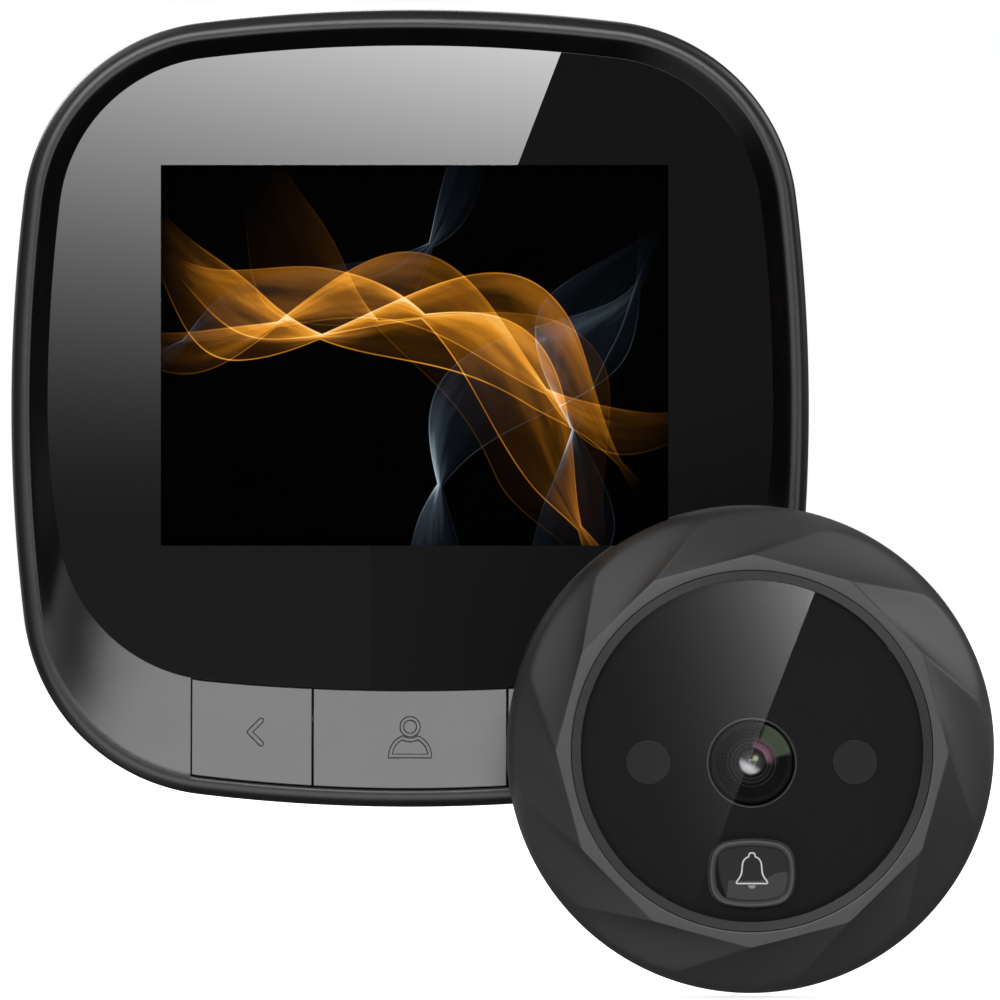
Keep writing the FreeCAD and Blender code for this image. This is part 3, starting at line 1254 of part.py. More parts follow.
# Camera: barrel screwed into a square holder over the image sensor, with its lenses and retainer
def camera():
    eye = ("unit_right", "unit_up + eye_up")
    board = "(disc_back + board_thick)"
    top = "(disc_back + board_thick + holder_high)"
    name_node(block(*spans("unit_right", "sensor_half"), board, board + " + sensor_high",
                    *spans("unit_up + eye_up", "sensor_half")), "image_sensor")
    holder = block(*spans("unit_right", "holder_half"), board, top,
                   *spans("unit_up + eye_up", "holder_half"))
    room = block(*spans("unit_right", "sensor_half + bond_gap"), board, board + " + sensor_high + bond_gap",
                 *spans("unit_up + eye_up", "sensor_half + bond_gap"))
    name_node(less(holder, [room, rod("barrel_radius + screw_play", board, top, *eye)]), "lens_holder")
    name_node(turned([("dome_radius + screw_play", board + " + 2 * sensor_high"),
                      ("dome_radius + screw_play", board + " + 3 * sensor_high"),
                      ("lens_radius + lens_play", board + " + 3 * sensor_high"),
                      ("lens_radius + lens_play", "barrel_front - sensor_high"),
                      ("barrel_radius", "barrel_front"), ("barrel_head", "barrel_front - lens_play"),
                      ("barrel_head", top + " + bond_gap"), ("barrel_radius", top + " + bond_gap"),
                      ("barrel_radius", board + " + 2 * sensor_high")], *eye), "lens_barrel")
    low = "(disc_back + board_thick + 3 * sensor_high + lens_play)"
    between = "(disc_back + board_thick + 3 * sensor_high + 2 * lens_play + lens_rear_high)"
    name_node(turned([("dome_radius", low), ("lens_radius", low),
                      ("lens_radius", low + " + lens_rear_high"),
                      ("dome_radius", low + " + lens_rear_high"),
                      ("0", low + " + lens_rear_high + lens_hollow"),
                      ("0", low + " + lens_hollow")], *eye), "lens_rear")
    front = "(barrel_front - 2 * sensor_high)"
    name_node(turned([("0", front + " + dome_rise", "dome_bow"), ("dome_radius", front),
                      ("lens_radius", front), ("lens_radius", between), ("dome_radius", between),
                      ("0", between + " + 2 * lens_hollow")], *eye), "lens_front")
    name_node(turned([("dome_radius + lens_play", front + " + lens_play"),
                      ("lens_radius", front + " + lens_play"),
                      ("lens_radius", "barrel_front - sensor_high"),
                      ("dome_radius + 4 * lens_play", "barrel_front - sensor_high")][::-1], *eye),
              "lens_retainer")
    name_node(rod("dome_radius", board + " + sensor_high + 3 * lens_play", board + " + 2 * sensor_high",
                  *eye), "lens_filter")


# Infrared lamps: two clear-capped diodes on the outdoor board
def ir_leds():
    seat = "(disc_back + board_thick)"
    lamps = []
    for x, z in LAMPS:
        lamps.append(turned([("0", seat + " + lamp_long", "lamp_radius"),
                             ("lamp_radius", seat + " + lamp_long - lamp_radius"),
                             ("lamp_radius", seat + " + board_thick"),
                             ("lamp_flange", seat + " + board_thick"),
                             ("lamp_flange", seat), ("0", seat)], *at_unit(x, z)))
    return grouped(lamps)


# Outdoor board: a round board on three posts, with a socket for the ribbon at its back
def outdoor_board():
    disc = rod("disc_radius", "disc_back", "disc_back + board_thick", *UNIT)
    holes = [rod("small_screw + 3 * screw_play", "disc_back", "disc_back + board_thick", *at_unit(x, z))
             for x, z in DISC_POSTS]
    name_node(less(disc, holes), "outdoor_board")
    shell = block(*spans("unit_right", "link_half"), "housing_front + bond_gap", "disc_back",
                  "unit_up + slot_high + screw_play", "unit_up + slot_high + link_half_high * 2")
    mouth = block(*spans("unit_right", "link_half - socket_wall"), "housing_front + link_half_high / 3",
                  "disc_back - link_half_high / 3",
                  "unit_up + slot_high + screw_play", "unit_up + slot_high + link_half_high")
    name_node(less(shell, [mouth]), "outdoor_socket")


# Doorbell button: a cap with a flange and a stem, a glossy inlay, and its switch and plunger
def doorbell():
    flange_front = "(cover_back - mask_thick - bond_gap)"
    flange_back = "(cover_back - mask_thick - bond_gap - bell_flange_thick)"
    seat = "(disc_back + board_thick)"
    spot = ("unit_right", "unit_up + bell_up")
    cap = slab(BELL, flange_back, "bell_front")
    round_edges(cap, "2 * bell_play", lambda edge: lies_at(edge, value("bell_front")))
    flange = slab(BELL.inset("-bell_flange"), flange_back, flange_front)
    stem = rod("bell_plunger", seat + " + bell_plunger_top", flange_back, *spot)
    dish = slab(BELL.inset("bell_rim"), "bell_front - bell_dish", "unit_front")
    name_node(less(joined([cap, flange, stem]), [dish]), "doorbell_cap")
    name_node(slab(BELL.inset("bell_rim + screw_play"), "bell_front - bell_dish",
                   "bell_front - bell_dish + bell_inlay"), "doorbell_inlay")
    body = block(*spans(spot[0], "bell_switch_half"), seat, seat + " + bell_switch_high",
                 *spans(spot[1], "bell_switch_half"))
    bore = rod("bell_plunger + screw_play", seat + " + bell_switch_high / 4", seat + " + bell_switch_high",
               *spot)
    name_node(less(body, [bore]), "doorbell_switch")
    name_node(rod("bell_plunger", seat + " + bell_switch_high / 4 + bell_travel + bond_gap",
                  seat + " + bell_plunger_top", *spot), "doorbell_plunger")


# The screen unit
name_node(front_frame(), "front_frame")
name_node(rear_case(), "rear_case")
for key, cap in key_caps().items():
    name_node(cap, "key_" + key)
display()
boards()
key_switches()
speaker()
board_sockets()
for row in range(3):
    name_node(battery_cell(row), "battery_cell_%d" % (row + 1))
name_node(battery_contacts(), "battery_contacts")
name_node(battery_springs(), "battery_springs")
name_node(battery_cover(), "battery_cover")
name_node(case_screws(), "case_screws")
name_node(door_plate(), "door_plate")

# The outdoor unit
name_node(bezel_ring(), "bezel_ring")
name_node(rear_housing(), "rear_housing")
name_node(clamp_inserts(), "clamp_inserts")
name_node(seal_ring(), "seal_ring")
name_node(foam_ring(), "foam_ring")
name_node(small_screws(RING_SCREWS, "unit_back + small_head_high",
                       "unit_back + ring_screw_long", False), "outdoor_screws")
name_node(small_screws(DISC_POSTS, "disc_back + board_thick",
                       "housing_front", True), "outdoor_board_screws")
outdoor_cover()
camera()
name_node(ir_leds(), "ir_leds")
outdoor_board()
doorbell()

# Writing out: nothing is written unless every object and every piece is sound
doc.recompute()
broken = [thing.Name for thing in doc.Objects if {"Invalid", "Error"} & set(thing.State)]
broken += [node.Label for node in NODES if node.Shape.isNull() or not node.Shape.isValid()]
if broken:
    raise RuntimeError("unsound: " + ", ".join(broken))
for node in NODES:
    node.Shape.exportStep("parts/" + node.Label + ".step")
print("%d pieces written" % len(NODES))
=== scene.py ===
from math import atan2, cos, hypot, pi, radians, sin, sqrt
import bpy
import numpy as np
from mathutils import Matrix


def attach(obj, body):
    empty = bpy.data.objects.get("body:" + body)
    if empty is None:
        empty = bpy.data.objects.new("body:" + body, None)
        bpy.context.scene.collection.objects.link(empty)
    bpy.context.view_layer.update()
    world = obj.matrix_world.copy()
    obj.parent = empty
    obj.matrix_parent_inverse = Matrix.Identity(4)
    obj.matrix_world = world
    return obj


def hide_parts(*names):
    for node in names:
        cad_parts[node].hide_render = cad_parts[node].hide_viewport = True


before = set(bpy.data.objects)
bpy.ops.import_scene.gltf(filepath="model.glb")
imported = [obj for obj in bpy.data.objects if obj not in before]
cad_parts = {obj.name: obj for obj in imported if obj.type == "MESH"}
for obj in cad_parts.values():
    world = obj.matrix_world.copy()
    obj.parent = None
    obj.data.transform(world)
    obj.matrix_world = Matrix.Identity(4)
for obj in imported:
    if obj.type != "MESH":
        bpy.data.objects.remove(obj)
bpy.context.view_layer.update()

# The camera: a long lens a metre and a half in front of the units, level, facing the door.
# It sees 113 mm across at the front of the screen unit, as the photograph does.
CAMERA_SPOT = (0.0102, -1.520, -0.01042)
camera = bpy.data.objects.new("camera", bpy.data.cameras.new("camera"))
bpy.context.scene.collection.objects.link(camera)
camera.location = CAMERA_SPOT
camera.rotation_euler = (pi / 2, 0, 0)
camera.data.lens = 476.3
camera.data.sensor_width = 36
camera.data.clip_end = 20
bpy.context.scene.camera = camera
bpy.context.scene.view_settings.view_transform = "Standard"


class Value:
    """A shader socket that Python's own signs work on: an expression adds its Math nodes."""

    def __init__(self, finish, socket):
        self.finish, self.socket = finish, socket

    def maths(self, operation, *terms):
        """The Math node of an operation on its terms, which are values or plain numbers."""
        return self.finish.add("ShaderNodeMath", {"operation": operation}, dict(enumerate(terms)))

    def __add__(self, other):
        return self.maths("ADD", self, other)

    def __sub__(self, other):
        return self.maths("SUBTRACT", self, other)

    def __rsub__(self, other):
        return self.maths("SUBTRACT", other, self)

    def __mul__(self, other):
        return self.maths("MULTIPLY", self, other)

    def __truediv__(self, other):
        return self.maths("DIVIDE", self, other)

    def __rtruediv__(self, other):
        return self.maths("DIVIDE", other, self)

    def __pow__(self, other):
        return self.maths("POWER", self, other)

    def __lt__(self, other):
        return self.maths("LESS_THAN", self, other)

    def __gt__(self, other):
        return self.maths("GREATER_THAN", self, other)

    def __abs__(self):
        return self.maths("ABSOLUTE", self)

    __radd__ = __add__
    __rmul__ = __mul__

    def wave(self):
        """The sine, of radians."""
        return self.maths("SINE", self)

    def exp(self):
        """e to this power."""
        return self.maths("EXPONENT", self)

    def most(self, other):
        """The larger of the two."""
        return self.maths("MAXIMUM", self, other)

    def rise(self, low, high):
        """0 up to low, 1 from high on, and a smooth step between; low may be above high."""
        return self.finish.add("ShaderNodeMapRange", {"interpolation_type": "SMOOTHSTEP"},
                               {0: self, 1: low, 2: high})


class Finish:
    """One material, or the world: its nodes, and its shader with its constants on its sockets."""

    def __init__(self, name, owner=None, **constants):
        self.material = owner or bpy.data.materials.new(name)
        self.material.use_nodes = True
        self.tree = self.material.node_tree
        self.shader = self.tree.nodes["Background" if owner else "Principled BSDF"]
        for socket, constant in constants.items():
            self.shader.inputs[socket.replace("_", " ")].default_value = constant

    def add(self, kind, settings=None, sockets=None, output=0):
        """Any node: its settings first, then the values or links of its sockets."""
        node = self.tree.nodes.new(kind)
        for key, setting in (settings or {}).items():
            if key == "stops":
                ramp = node.color_ramp.elements
                while len(ramp) < len(setting):
                    ramp.new(1.0)
                for stop, (place, colour) in zip(ramp, setting):
                    stop.position, stop.color = place, (*colour, 1)
            else:
                setattr(node, key, setting)
        for key, value in (sockets or {}).items():
            if isinstance(value, Value):
                self.tree.links.new(node.inputs[key], value.socket)
            else:
                node.inputs[key].default_value = value
        return Value(self, node.outputs[output])

    def where(self):
        """The surface point in the frame of the whole, in metres."""
        return self.add("ShaderNodeTexCoord", output="Object")

    def parts(self, vector):
        """The three numbers of a vector."""
        split = self.add("ShaderNodeSeparateXYZ", {}, {0: vector})
        return [Value(self, out) for out in split.socket.node.outputs]

    def axes(self):
        """Its three coordinates in millimetres: across, towards the door, up."""
        return [part * 1000 for part in self.parts(self.where())]

    def noise(self, size, detail=2.0, stretch=(1, 1, 1), roughness=0.5):
        """Smooth noise whose patches are about size millimetres wide, 0 to 1."""
        at = self.add("ShaderNodeVectorMath", {"operation": "MULTIPLY"},
                      {0: self.where(), 1: stretch})
        return self.add("ShaderNodeTexNoise", {}, {"Vector": at, "Scale": 1000 / size,
                                                   "Detail": detail, "Roughness": roughness})

    def mixed(self, first, second, share):
        """One colour turning into another as share goes from 0 to 1."""
        colours = [(*c, 1) if isinstance(c, tuple) else c for c in (first, second)]
        return self.add("ShaderNodeMix", {"data_type": "RGBA"},
                        {0: share, 6: colours[0], 7: colours[1]}, output=2)

    def set(self, **links):
        """Feeds the shader's sockets; an underscore stands for a space in a socket's name."""
        for socket, value in links.items():
            self.tree.links.new(self.shader.inputs[socket.replace("_", " ")], value.socket)
        return self

    def relief(self, height, depth):
        """Bump from a height of 0 to 1 that stands for depth millimetres."""
        return self.set(Normal=self.add("ShaderNodeBump", {},
                                        {"Height": height, "Distance": depth / 1000}))


# The room: a white sweep behind the units and a dark one behind the camera, so that glossy
# plastic is dark where it faces the lens. The sweep is lightest at the upper left. Soft
# patches of light stand at the right and left of the lens, below it, and high at both sides.
world = bpy.data.worlds.new("studio")
bpy.context.scene.world = world
room = Finish("studio", world)
way = room.add("ShaderNodeTexCoord")
aside, behind, above = room.parts(way)


def patch(x, y, z, wide, glow):
    """A round patch of the room: full glow towards x, y, z, none wide degrees away from there."""
    target = np.array([x, y, z]) / hypot(x, y, z)
    near = room.add("ShaderNodeVectorMath", {"operation": "DOT_PRODUCT"}, {0: way, 1: target},
                    "Value")
    return near.rise(cos(radians(wide)), 1.0) * glow


ahead = behind.rise(-0.1, -0.4)
around = (aside ** 2 + above ** 2) ** 0.5 + 0.001
upper_left = ((above - aside) / around).rise(0.2, 1.1)
level_right = ((aside - abs(above) * 3) / around).rise(0.3, 0.9)
sweep = behind.rise(0.03, 0.48) * (upper_left * 0.40 + level_right * 0.20 + 0.06)
behind_camera = behind.rise(-0.80, -0.95) * 0.024 + 0.006
right_strip = aside.rise(0.38, 0.50) * aside.rise(0.80, 0.66) * abs(above).rise(0.30, 0.12)
low_strip = above.rise(-0.10, -0.22) * above.rise(-0.93, -0.5) * abs(aside).rise(0.76, 0.42)
left_strip = aside.rise(-0.25, -0.4)
light = sweep + behind_camera + (right_strip * 2.2 + left_strip * 0.08 + low_strip * 2.2) * ahead
for spot in ((0.86, 0.10, 0.50, 30, 2.4), (-0.58, 0.0, 0.74, 32, 1.4), (0.62, -0.15, 0.77, 34, 0.8),
             (-0.45, -0.50, 0.72, 48, 0.5), (-0.60, -0.05, -0.75, 30, 0.4)):
    light = light + patch(*spot)
# A Mix node takes a share of 0 to 1, so the light is a share of the brightest tone.
BRIGHTEST = 8.0
tone = room.mixed((0, 0, 0), (BRIGHTEST, BRIGHTEST, BRIGHTEST + 0.1), light / BRIGHTEST)
# The camera itself sees plain white behind the units.
room.set(Color=room.mixed(tone, (1.0, 1.0, 1.0), room.add("ShaderNodeLightPath")))

# The floor: a pale table top just under the outdoor unit.
# It is a large sheet, so that its edge lies beyond every view.
FLOOR_LEVEL, FLOOR_HALF = -0.0662, 4.0
floor_mesh = bpy.data.meshes.new("floor")
corners = np.array([(-1, -1), (1, -1), (1, 1), (-1, 1)]) * FLOOR_HALF
floor_mesh.from_pydata([(x, y, FLOOR_LEVEL) for x, y in corners], [], [(0, 1, 2, 3)])
floor = bpy.data.objects.new("floor", floor_mesh)
bpy.context.scene.collection.objects.link(floor)
floor.visible_glossy = floor.visible_diffuse = floor.visible_shadow = False
table = Finish("table", Roughness=0.9, Emission_Strength=0.80)
table_tone = table.mixed((0.86, 0.86, 0.86), (0.88, 0.88, 0.88), table.noise(40))
table.set(Base_Color=table_tone, Emission_Color=table_tone)
floor_mesh.materials.append(table.material)

# The lamps: a softbox above the lens and a little to its left, which lights the chin, and a wider
# one high behind the units, for their tops and backs. Both point at the frame's origin, and the
# camera sees neither.
for name, spot, wide, high, watts in (("softbox", (-0.10, -1.35, 0.42), 1.0, 0.44, 9.6),
                                      ("back_softbox", (-0.55, 1.15, 0.85), 1.3, 0.8, 16)):
    lamp = bpy.data.lights.new(name, "AREA")
    lamp.shape, lamp.size, lamp.size_y, lamp.energy = "RECTANGLE", wide, high, watts
    holder = bpy.data.objects.new(name, lamp)
    bpy.context.scene.collection.objects.link(holder)
    holder.location = spot
    holder.rotation_euler = (pi / 2 - atan2(spot[2], hypot(*spot[:2])), 0, atan2(spot[0], -spot[1]))
    holder.visible_camera = False

# The reflection cards: two lit cards behind the camera, one mirrored by each glass.
# Each fades from its bright corner and ends at a slanting edge; only reflections see them.
WINDOW_FRONT, CARD_BEHIND = 0.018, 0.40
PIXELS_PER_METRE, MIDDLE_PIXEL = 8820, 500
to_window = -CAMERA_SPOT[1] - WINDOW_FRONT
# A mirrored card looks as far behind the glass as it stands in front of it, so it looks smaller.
card_scale = PIXELS_PER_METRE * to_window / (2 * to_window + CARD_BEHIND)


def card(name, corners, glow):
    """A card seen in a glass: its corners are the picture's pixels that it is mirrored in."""
    pixels = np.array(corners, float)
    x = (pixels[:, 0] - MIDDLE_PIXEL) / card_scale + CAMERA_SPOT[0]
    y = np.full(len(x), CAMERA_SPOT[1] - CARD_BEHIND)
    z = (MIDDLE_PIXEL - pixels[:, 1]) / card_scale + CAMERA_SPOT[2]
    mesh = bpy.data.meshes.new(name)
    mesh.from_pydata(np.column_stack([x, y, z]).tolist(), [], [tuple(range(len(x)))])
    lit = Finish(name, Base_Color=(0, 0, 0, 1), Emission_Strength=1.0)
    across, _, up = lit.axes()
    column = (across / 1000 - CAMERA_SPOT[0]) * card_scale + MIDDLE_PIXEL
    row = MIDDLE_PIXEL - (up / 1000 - CAMERA_SPOT[2]) * card_scale
    lit.set(Emission_Color=glow(column, row))
    board = bpy.data.objects.new(name, mesh)
    mesh.materials.append(lit.material)
    bpy.context.scene.collection.objects.link(board)
    board.visible_camera = board.visible_diffuse = board.visible_shadow = False
    board.visible_transmission = False


def screen_glow(column, row):
    """A power of the height over row 552, a little stronger towards the right."""
    return ((552 - row) / 442).most(0.0) ** 2.33 * (column * 0.0087 + 6.08) + 0.055


def cover_glow(column, row):
    """Exponential: it falls off to the left of the card's slanting edge, and downwards."""
    down = row - 600
    return (((column - 807 + down * 0.387) / 62 - down / 87).exp() * 4.6 - 0.13).most(0.0) + 0.02


card("screen_card", [(-60, -60), (604.5, -60), (370.6, 546), (370.6, 900), (-60, 900)], screen_glow)
card("cover_card", [(575, 940), (575, 700), (640, 590), (720, 565), (823, 559), (715.5, 836.5),
                    (678, 933)], cover_glow)


# Front frame: the screen unit's rim, sloping dish and chin, one satin black ABS moulding.
# Its outline is ten arcs that run smoothly into each other; from here on sizes are in
# millimetres, written across, forward from the door, and up.
class Outline:
    """A closed line of tangent arcs, mirrored left to right, its upper and lower half apart."""

    def __init__(self, half, upper, lower, right=0.0, up=0.0):
        """Half the width, then of each half its height and the radii of side, bow and corner.

        An arc is its start angle, its centre's two coordinates and its radius.
        """
        arcs = []
        for sign, (end, side, bow, corner) in ((1, upper), (-1, lower)):
            # The corner's centre lies as far from the side's and the bow's as their radii differ.
            side_x, bow_z = half - side, end - bow
            span = hypot(side_x, bow_z)
            along = ((side - corner) ** 2 - (bow - corner) ** 2 + span ** 2) / (2 * span)
            off = sqrt((side - corner) ** 2 - along ** 2)
            x = side_x - (along * side_x + off * bow_z) / span
            z = (along * bow_z - off * side_x) / span
            first, last = atan2(z, x - side_x), atan2(z - bow_z, x)
            base = 0 if sign > 0 else pi
            arcs += [(base, sign * side_x, 0, side),
                     (base + first, sign * x, sign * z, corner),
                     (base + last, 0, sign * bow_z, bow),
                     (base + pi - last, -sign * x, sign * z, corner),
                     (base + pi - first, -sign * side_x, 0, side)]
        self.arcs = np.array(arcs)
        self.turns = np.diff(np.append(self.arcs[:, 0], 2 * pi))
        self.middle = np.array([right, up])

    def at(self, place, inset=0.0):
        """Points at places 0 to 10 along the arcs: centre + (radius - inset) * direction."""
        place = np.asarray(place, float) % 10
        number = place.astype(int)
        angle = self.arcs[number, 0] + (place - number) * self.turns[number]
        radius = (self.arcs[number, 3] - inset)[..., None]
        way = np.stack([np.cos(angle), np.sin(angle)], -1)
        return self.middle + self.arcs[number, 1:3] + radius * way

    def places(self, spacing):
        """Places about spacing millimetres apart, with the start of each arc among them."""
        counts = np.maximum(3, np.ceil(self.arcs[:, 3] * self.turns / spacing)).astype(int)
        return np.concatenate([k + np.arange(n) / n for k, n in enumerate(counts)])

    def low_edge(self, x, inset):
        """Height of the lower edge over x: on the bow near the middle, on the corner beyond."""
        bow, corner = self.arcs[7], self.arcs[8]
        joint = corner[1] + (corner[3] - inset) * cos(corner[0])
        bow_z = bow[2] - np.sqrt((bow[3] - inset) ** 2 - x ** 2)
        reach = np.clip((corner[3] - inset) ** 2 - (np.abs(x) - corner[1]) ** 2, 0, None)
        return np.where(np.abs(x) < joint, bow_z, corner[2] - np.sqrt(reach))


CASE = Outline(45.26, (45.26, 199.1, 199.1, 22.8), (45.26, 199.1, 199.1, 22.8))
WINDOW = Outline(41.21, (41.21, 195.05, 195.05, 18.75), (32.0, 83.4, 239.3, 18.84))


def ring(points, depth):
    """One row of a sweep: points of an outline, all at one depth or each at its own."""
    return np.column_stack([points[:, 0], np.broadcast_to(depth, len(points)), points[:, 1]])


def weave(grid, around=True, closed=True):
    """Faces of a grid of points: each joins a point, its neighbour and the two of the next row."""
    rows, columns = grid.shape[:2]
    low = np.arange(rows if closed else rows - 1)[:, None] * columns
    high = (low + columns) % (rows * columns)
    left = np.arange(columns if around else columns - 1)[None, :]
    right = (left + 1) % columns
    faces = np.stack([low + left, low + right, high + right, high + left], -1)
    return faces.reshape(-1, 4).tolist()


def lids(grid):
    """Faces that close the first and the last row of a tube of rows."""
    rows, columns = grid.shape[:2]
    return [list(range(columns))[::-1], list(range((rows - 1) * columns, rows * columns))]


def make(name, shells, finish, body, stands_for=(), crease=32):
    """A piece of closed shells, each turned so that the volume inside its faces is positive.

    Edges that bend by more than crease degrees stay sharp.
    """
    points, faces = [], []
    for grid, own in shells:
        flat = grid.reshape(-1, 3)
        at = np.column_stack([flat[:, 0], -flat[:, 1], flat[:, 2]]) / 1000
        corners = np.array([[face[0], face[k], face[k + 1]] for face in own
                            for k in range(1, len(face) - 1)])
        middle = at.mean(0)
        a, b, c = (at[corners[:, k]] - middle for k in range(3))
        if np.einsum("ij,ij->", a, np.cross(b, c)) < 0:
            own = [face[::-1] for face in own]
        faces += [[k + sum(len(p) for p in points) for k in face] for face in own]
        points.append(at)
    mesh = bpy.data.meshes.new(name)
    mesh.from_pydata(np.concatenate(points).tolist(), [], faces)
    mesh.validate()
    mesh.shade_smooth()
    mesh.set_sharp_from_angle(angle=radians(crease))
    mesh.materials.append(finish)
    piece = bpy.data.objects.new(name, mesh)
    bpy.context.scene.collection.objects.link(piece)
    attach(piece, body)
    if stands_for:
        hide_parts(*stands_for)
    return piece


def bend(first, corner, last, steps=4):
    """Rows that round a corner: a curve from first to last that leaves along corner."""
    share = np.linspace(0, 1, steps)[:, None, None]
    return list((1 - share) ** 2 * first + 2 * share * (1 - share) * corner + share ** 2 * last)


def moulded(name, dark, light, roughness, grain=0.16, depth=0.006, spread=0.1, **constants):
    """Moulded plastic: eroded tool grain as bump, slightly cloudy colour and gloss."""
    finish = Finish(name, **constants)
    cloud = finish.noise(9.0, 3)
    finish.set(Base_Color=finish.mixed(dark, light, finish.noise(grain * 3, 4) * 0.5 + cloud * 0.5),
               Roughness=cloud * spread + (roughness - spread / 2))
    finish.relief(finish.noise(grain, 2), depth)
    return finish.material


KEY_END, KEY_GAP, SEAM, RIM_WIDTH = 24.7, 0.3, 0.14, 2.05
CREST, DISH_FLOOR, LEDGE, SHELF_BACK, LEDGE_WIDTH = 20.0, 18.0, 17.0, 16.0, 1.2
opening_x = KEY_END + KEY_GAP / 2


def place_over(outline, x, inset):
    """Place on the lower left corner's arc that lies straight over -x."""
    start, centre_x, _, radius = outline.arcs[6]
    angle = 2 * pi - np.arccos((-x - centre_x) / (radius - inset))
    return 6 + (angle - start) / outline.turns[6]


# Columns of points round the frame. The keys' opening runs from place rim_end to its mirror image,
# 15 - rim_end, with a wall at each end, and columns lie closer together beside it.
rim_end, window_end = place_over(CASE, opening_x, RIM_WIDTH), place_over(WINDOW, opening_x, 0)
around_case = CASE.places(0.75)
beside = (around_case < rim_end - 0.01) | (around_case > 15 - rim_end + 0.01)
within = (around_case > rim_end + 0.004) & (around_case < 15 - rim_end - 0.004)
edge_steps = np.array([0.008, 0.0045, 0.002, 0.0])
wall_step = 0.002
columns = np.sort(np.concatenate([around_case[beside | within], rim_end - edge_steps,
                                  15 - rim_end + edge_steps,
                                  [rim_end + wall_step, 15 - rim_end - wall_step]]))
window_columns = np.interp(columns, [0, 6, rim_end, 15 - rim_end, 9, 10],
                           [0, 6, window_end, 15 - window_end, 9, 10])
SIDE_WALL, EDGE_ROUND, PARTING, GROOVE, SIDE_TOP = 1.8, 1.5, 11.5, 0.12, 15.0
RIM_FLAT, LIP, NOTCH_ROUND = 1.66, 0.34, 0.08
rim_top = ring(CASE.at(columns, RIM_WIDTH), CREST)
dish_foot = ring(WINDOW.at(window_columns), DISH_FLOOR)
slope_long = np.linalg.norm(dish_foot - rim_top, axis=1)[:, None]


def on_dish(share):
    """A row on the ruled slope from the rim's inner line to the window, rounded at the keys."""
    row = rim_top + share * (dish_foot - rim_top)
    to_keys = np.where(row[:, 2] < -16, np.abs(row[:, 0]) - opening_x, 9.0)
    into_round = np.clip(NOTCH_ROUND - to_keys, 0, NOTCH_ROUND)
    row[:, 1] -= NOTCH_ROUND - np.sqrt(NOTCH_ROUND ** 2 - into_round ** 2)
    return row


def on_rim(inset, depth):
    """A row that runs inset millimetres inside the casing's outline."""
    return ring(CASE.at(columns, inset), depth)


turn = np.linspace(0, pi / 2, 9)
outside = [on_rim(SIDE_WALL, PARTING), on_rim(GROOVE, PARTING), on_rim(0, PARTING + GROOVE),
           on_rim(0, SIDE_TOP)]
outside += [on_rim(EDGE_ROUND * (1 - cos(a)), CREST - EDGE_ROUND + EDGE_ROUND * sin(a))
            for a in turn]
lip = np.clip(LIP / slope_long, 0, 1)
to_dish = bend(on_rim(RIM_FLAT, CREST), rim_top, on_dish(lip))
to_dish += [on_dish(lip + (1 - lip) * k / 3) for k in (1, 2, 3)]
to_dish += [ring(WINDOW.at(window_columns, inset), depth)
            for inset, depth in ((0, LEDGE), (LEDGE_WIDTH, LEDGE), (LEDGE_WIDTH, SHELF_BACK))]
to_keys = bend(on_rim(RIM_FLAT, CREST), rim_top, on_rim(RIM_WIDTH, CREST - 0.3))
to_keys += [on_rim(RIM_WIDTH, depth) for depth in (18.9, 17.9, 17.3, LEDGE, 16.6, SHELF_BACK)]
at_keys = (columns > rim_end + wall_step / 2) & (columns < 15 - rim_end - wall_step / 2)
inside = [np.where(at_keys[:, None], keys, dish) for dish, keys in zip(to_dish, to_keys)]
frame_grid = np.array(outside + inside + [on_rim(SIDE_WALL, SHELF_BACK)])
# Between the window and the keys the ledge is a bar of its own.
BAR_PLAY = 0.02
bar_places = np.linspace(window_end - 0.03, 15 - window_end + 0.03, 60)
bar_front, bar_back, bar_inside = LEDGE - BAR_PLAY, SHELF_BACK + BAR_PLAY, LEDGE_WIDTH - BAR_PLAY
bar = np.stack([ring(WINDOW.at(bar_places, inset), depth) for inset, depth in
                ((BAR_PLAY, bar_front), (bar_inside, bar_front), (bar_inside, bar_back),
                 (BAR_PLAY, bar_back))], 1)
rim_black = Finish("rim_black", IOR=1.5)
satin = rim_black.add("ShaderNodeAttribute", {"attribute_name": "satin"}, output="Fac")
fleck, cloud = rim_black.noise(0.17, 3), rim_black.noise(9.0, 3)
# Painted shade: the dish and the chin get a near-black tone, far darker than the rim's satin tone.
dish_painted_shade = rim_black.mixed((0.0008, 0.0008, 0.0009), (0.0018, 0.0018, 0.0019), cloud)
satin_tone = rim_black.mixed((0.007, 0.007, 0.0072), (0.014, 0.014, 0.0143), fleck)
rim_black.set(Base_Color=rim_black.mixed(dish_painted_shade, satin_tone, satin),
              Roughness=cloud * 0.08 + satin * 0.05 + 0.20)
rim_black.relief(fleck, 0.007)
front = make("front_shell", [(frame_grid, weave(frame_grid)),
                             (bar, weave(bar, closed=False) + lids(bar))],
             rim_black.material, "monitor", ["front_frame"])
# The rim and the outer side are satin, the dish and the chin are glossier; the dish and the chin
# are also painted far darker than the rim, as painted shade.
on_satin_unshaded = np.repeat(np.arange(len(frame_grid)) < len(outside) + 2, len(columns))
front.data.attributes.new("satin", "FLOAT", "POINT").data.foreach_set(
    "value", np.concatenate([on_satin_unshaded, np.zeros(bar[..., 0].size)]).astype(np.float32))


# Display window: cut acrylic, printed black behind all but the picture, with a polished edge.
# It is bonded on the frame's ledge, flush with the foot of the dish.
WINDOW_PLAY, POLISH = 0.04, 0.006
pane_places = WINDOW.places(0.6)


def on_pane(inset, depth):
    """A row that runs inset millimetres inside the pane's edge."""
    return ring(WINDOW.at(pane_places, WINDOW_PLAY + inset), depth)


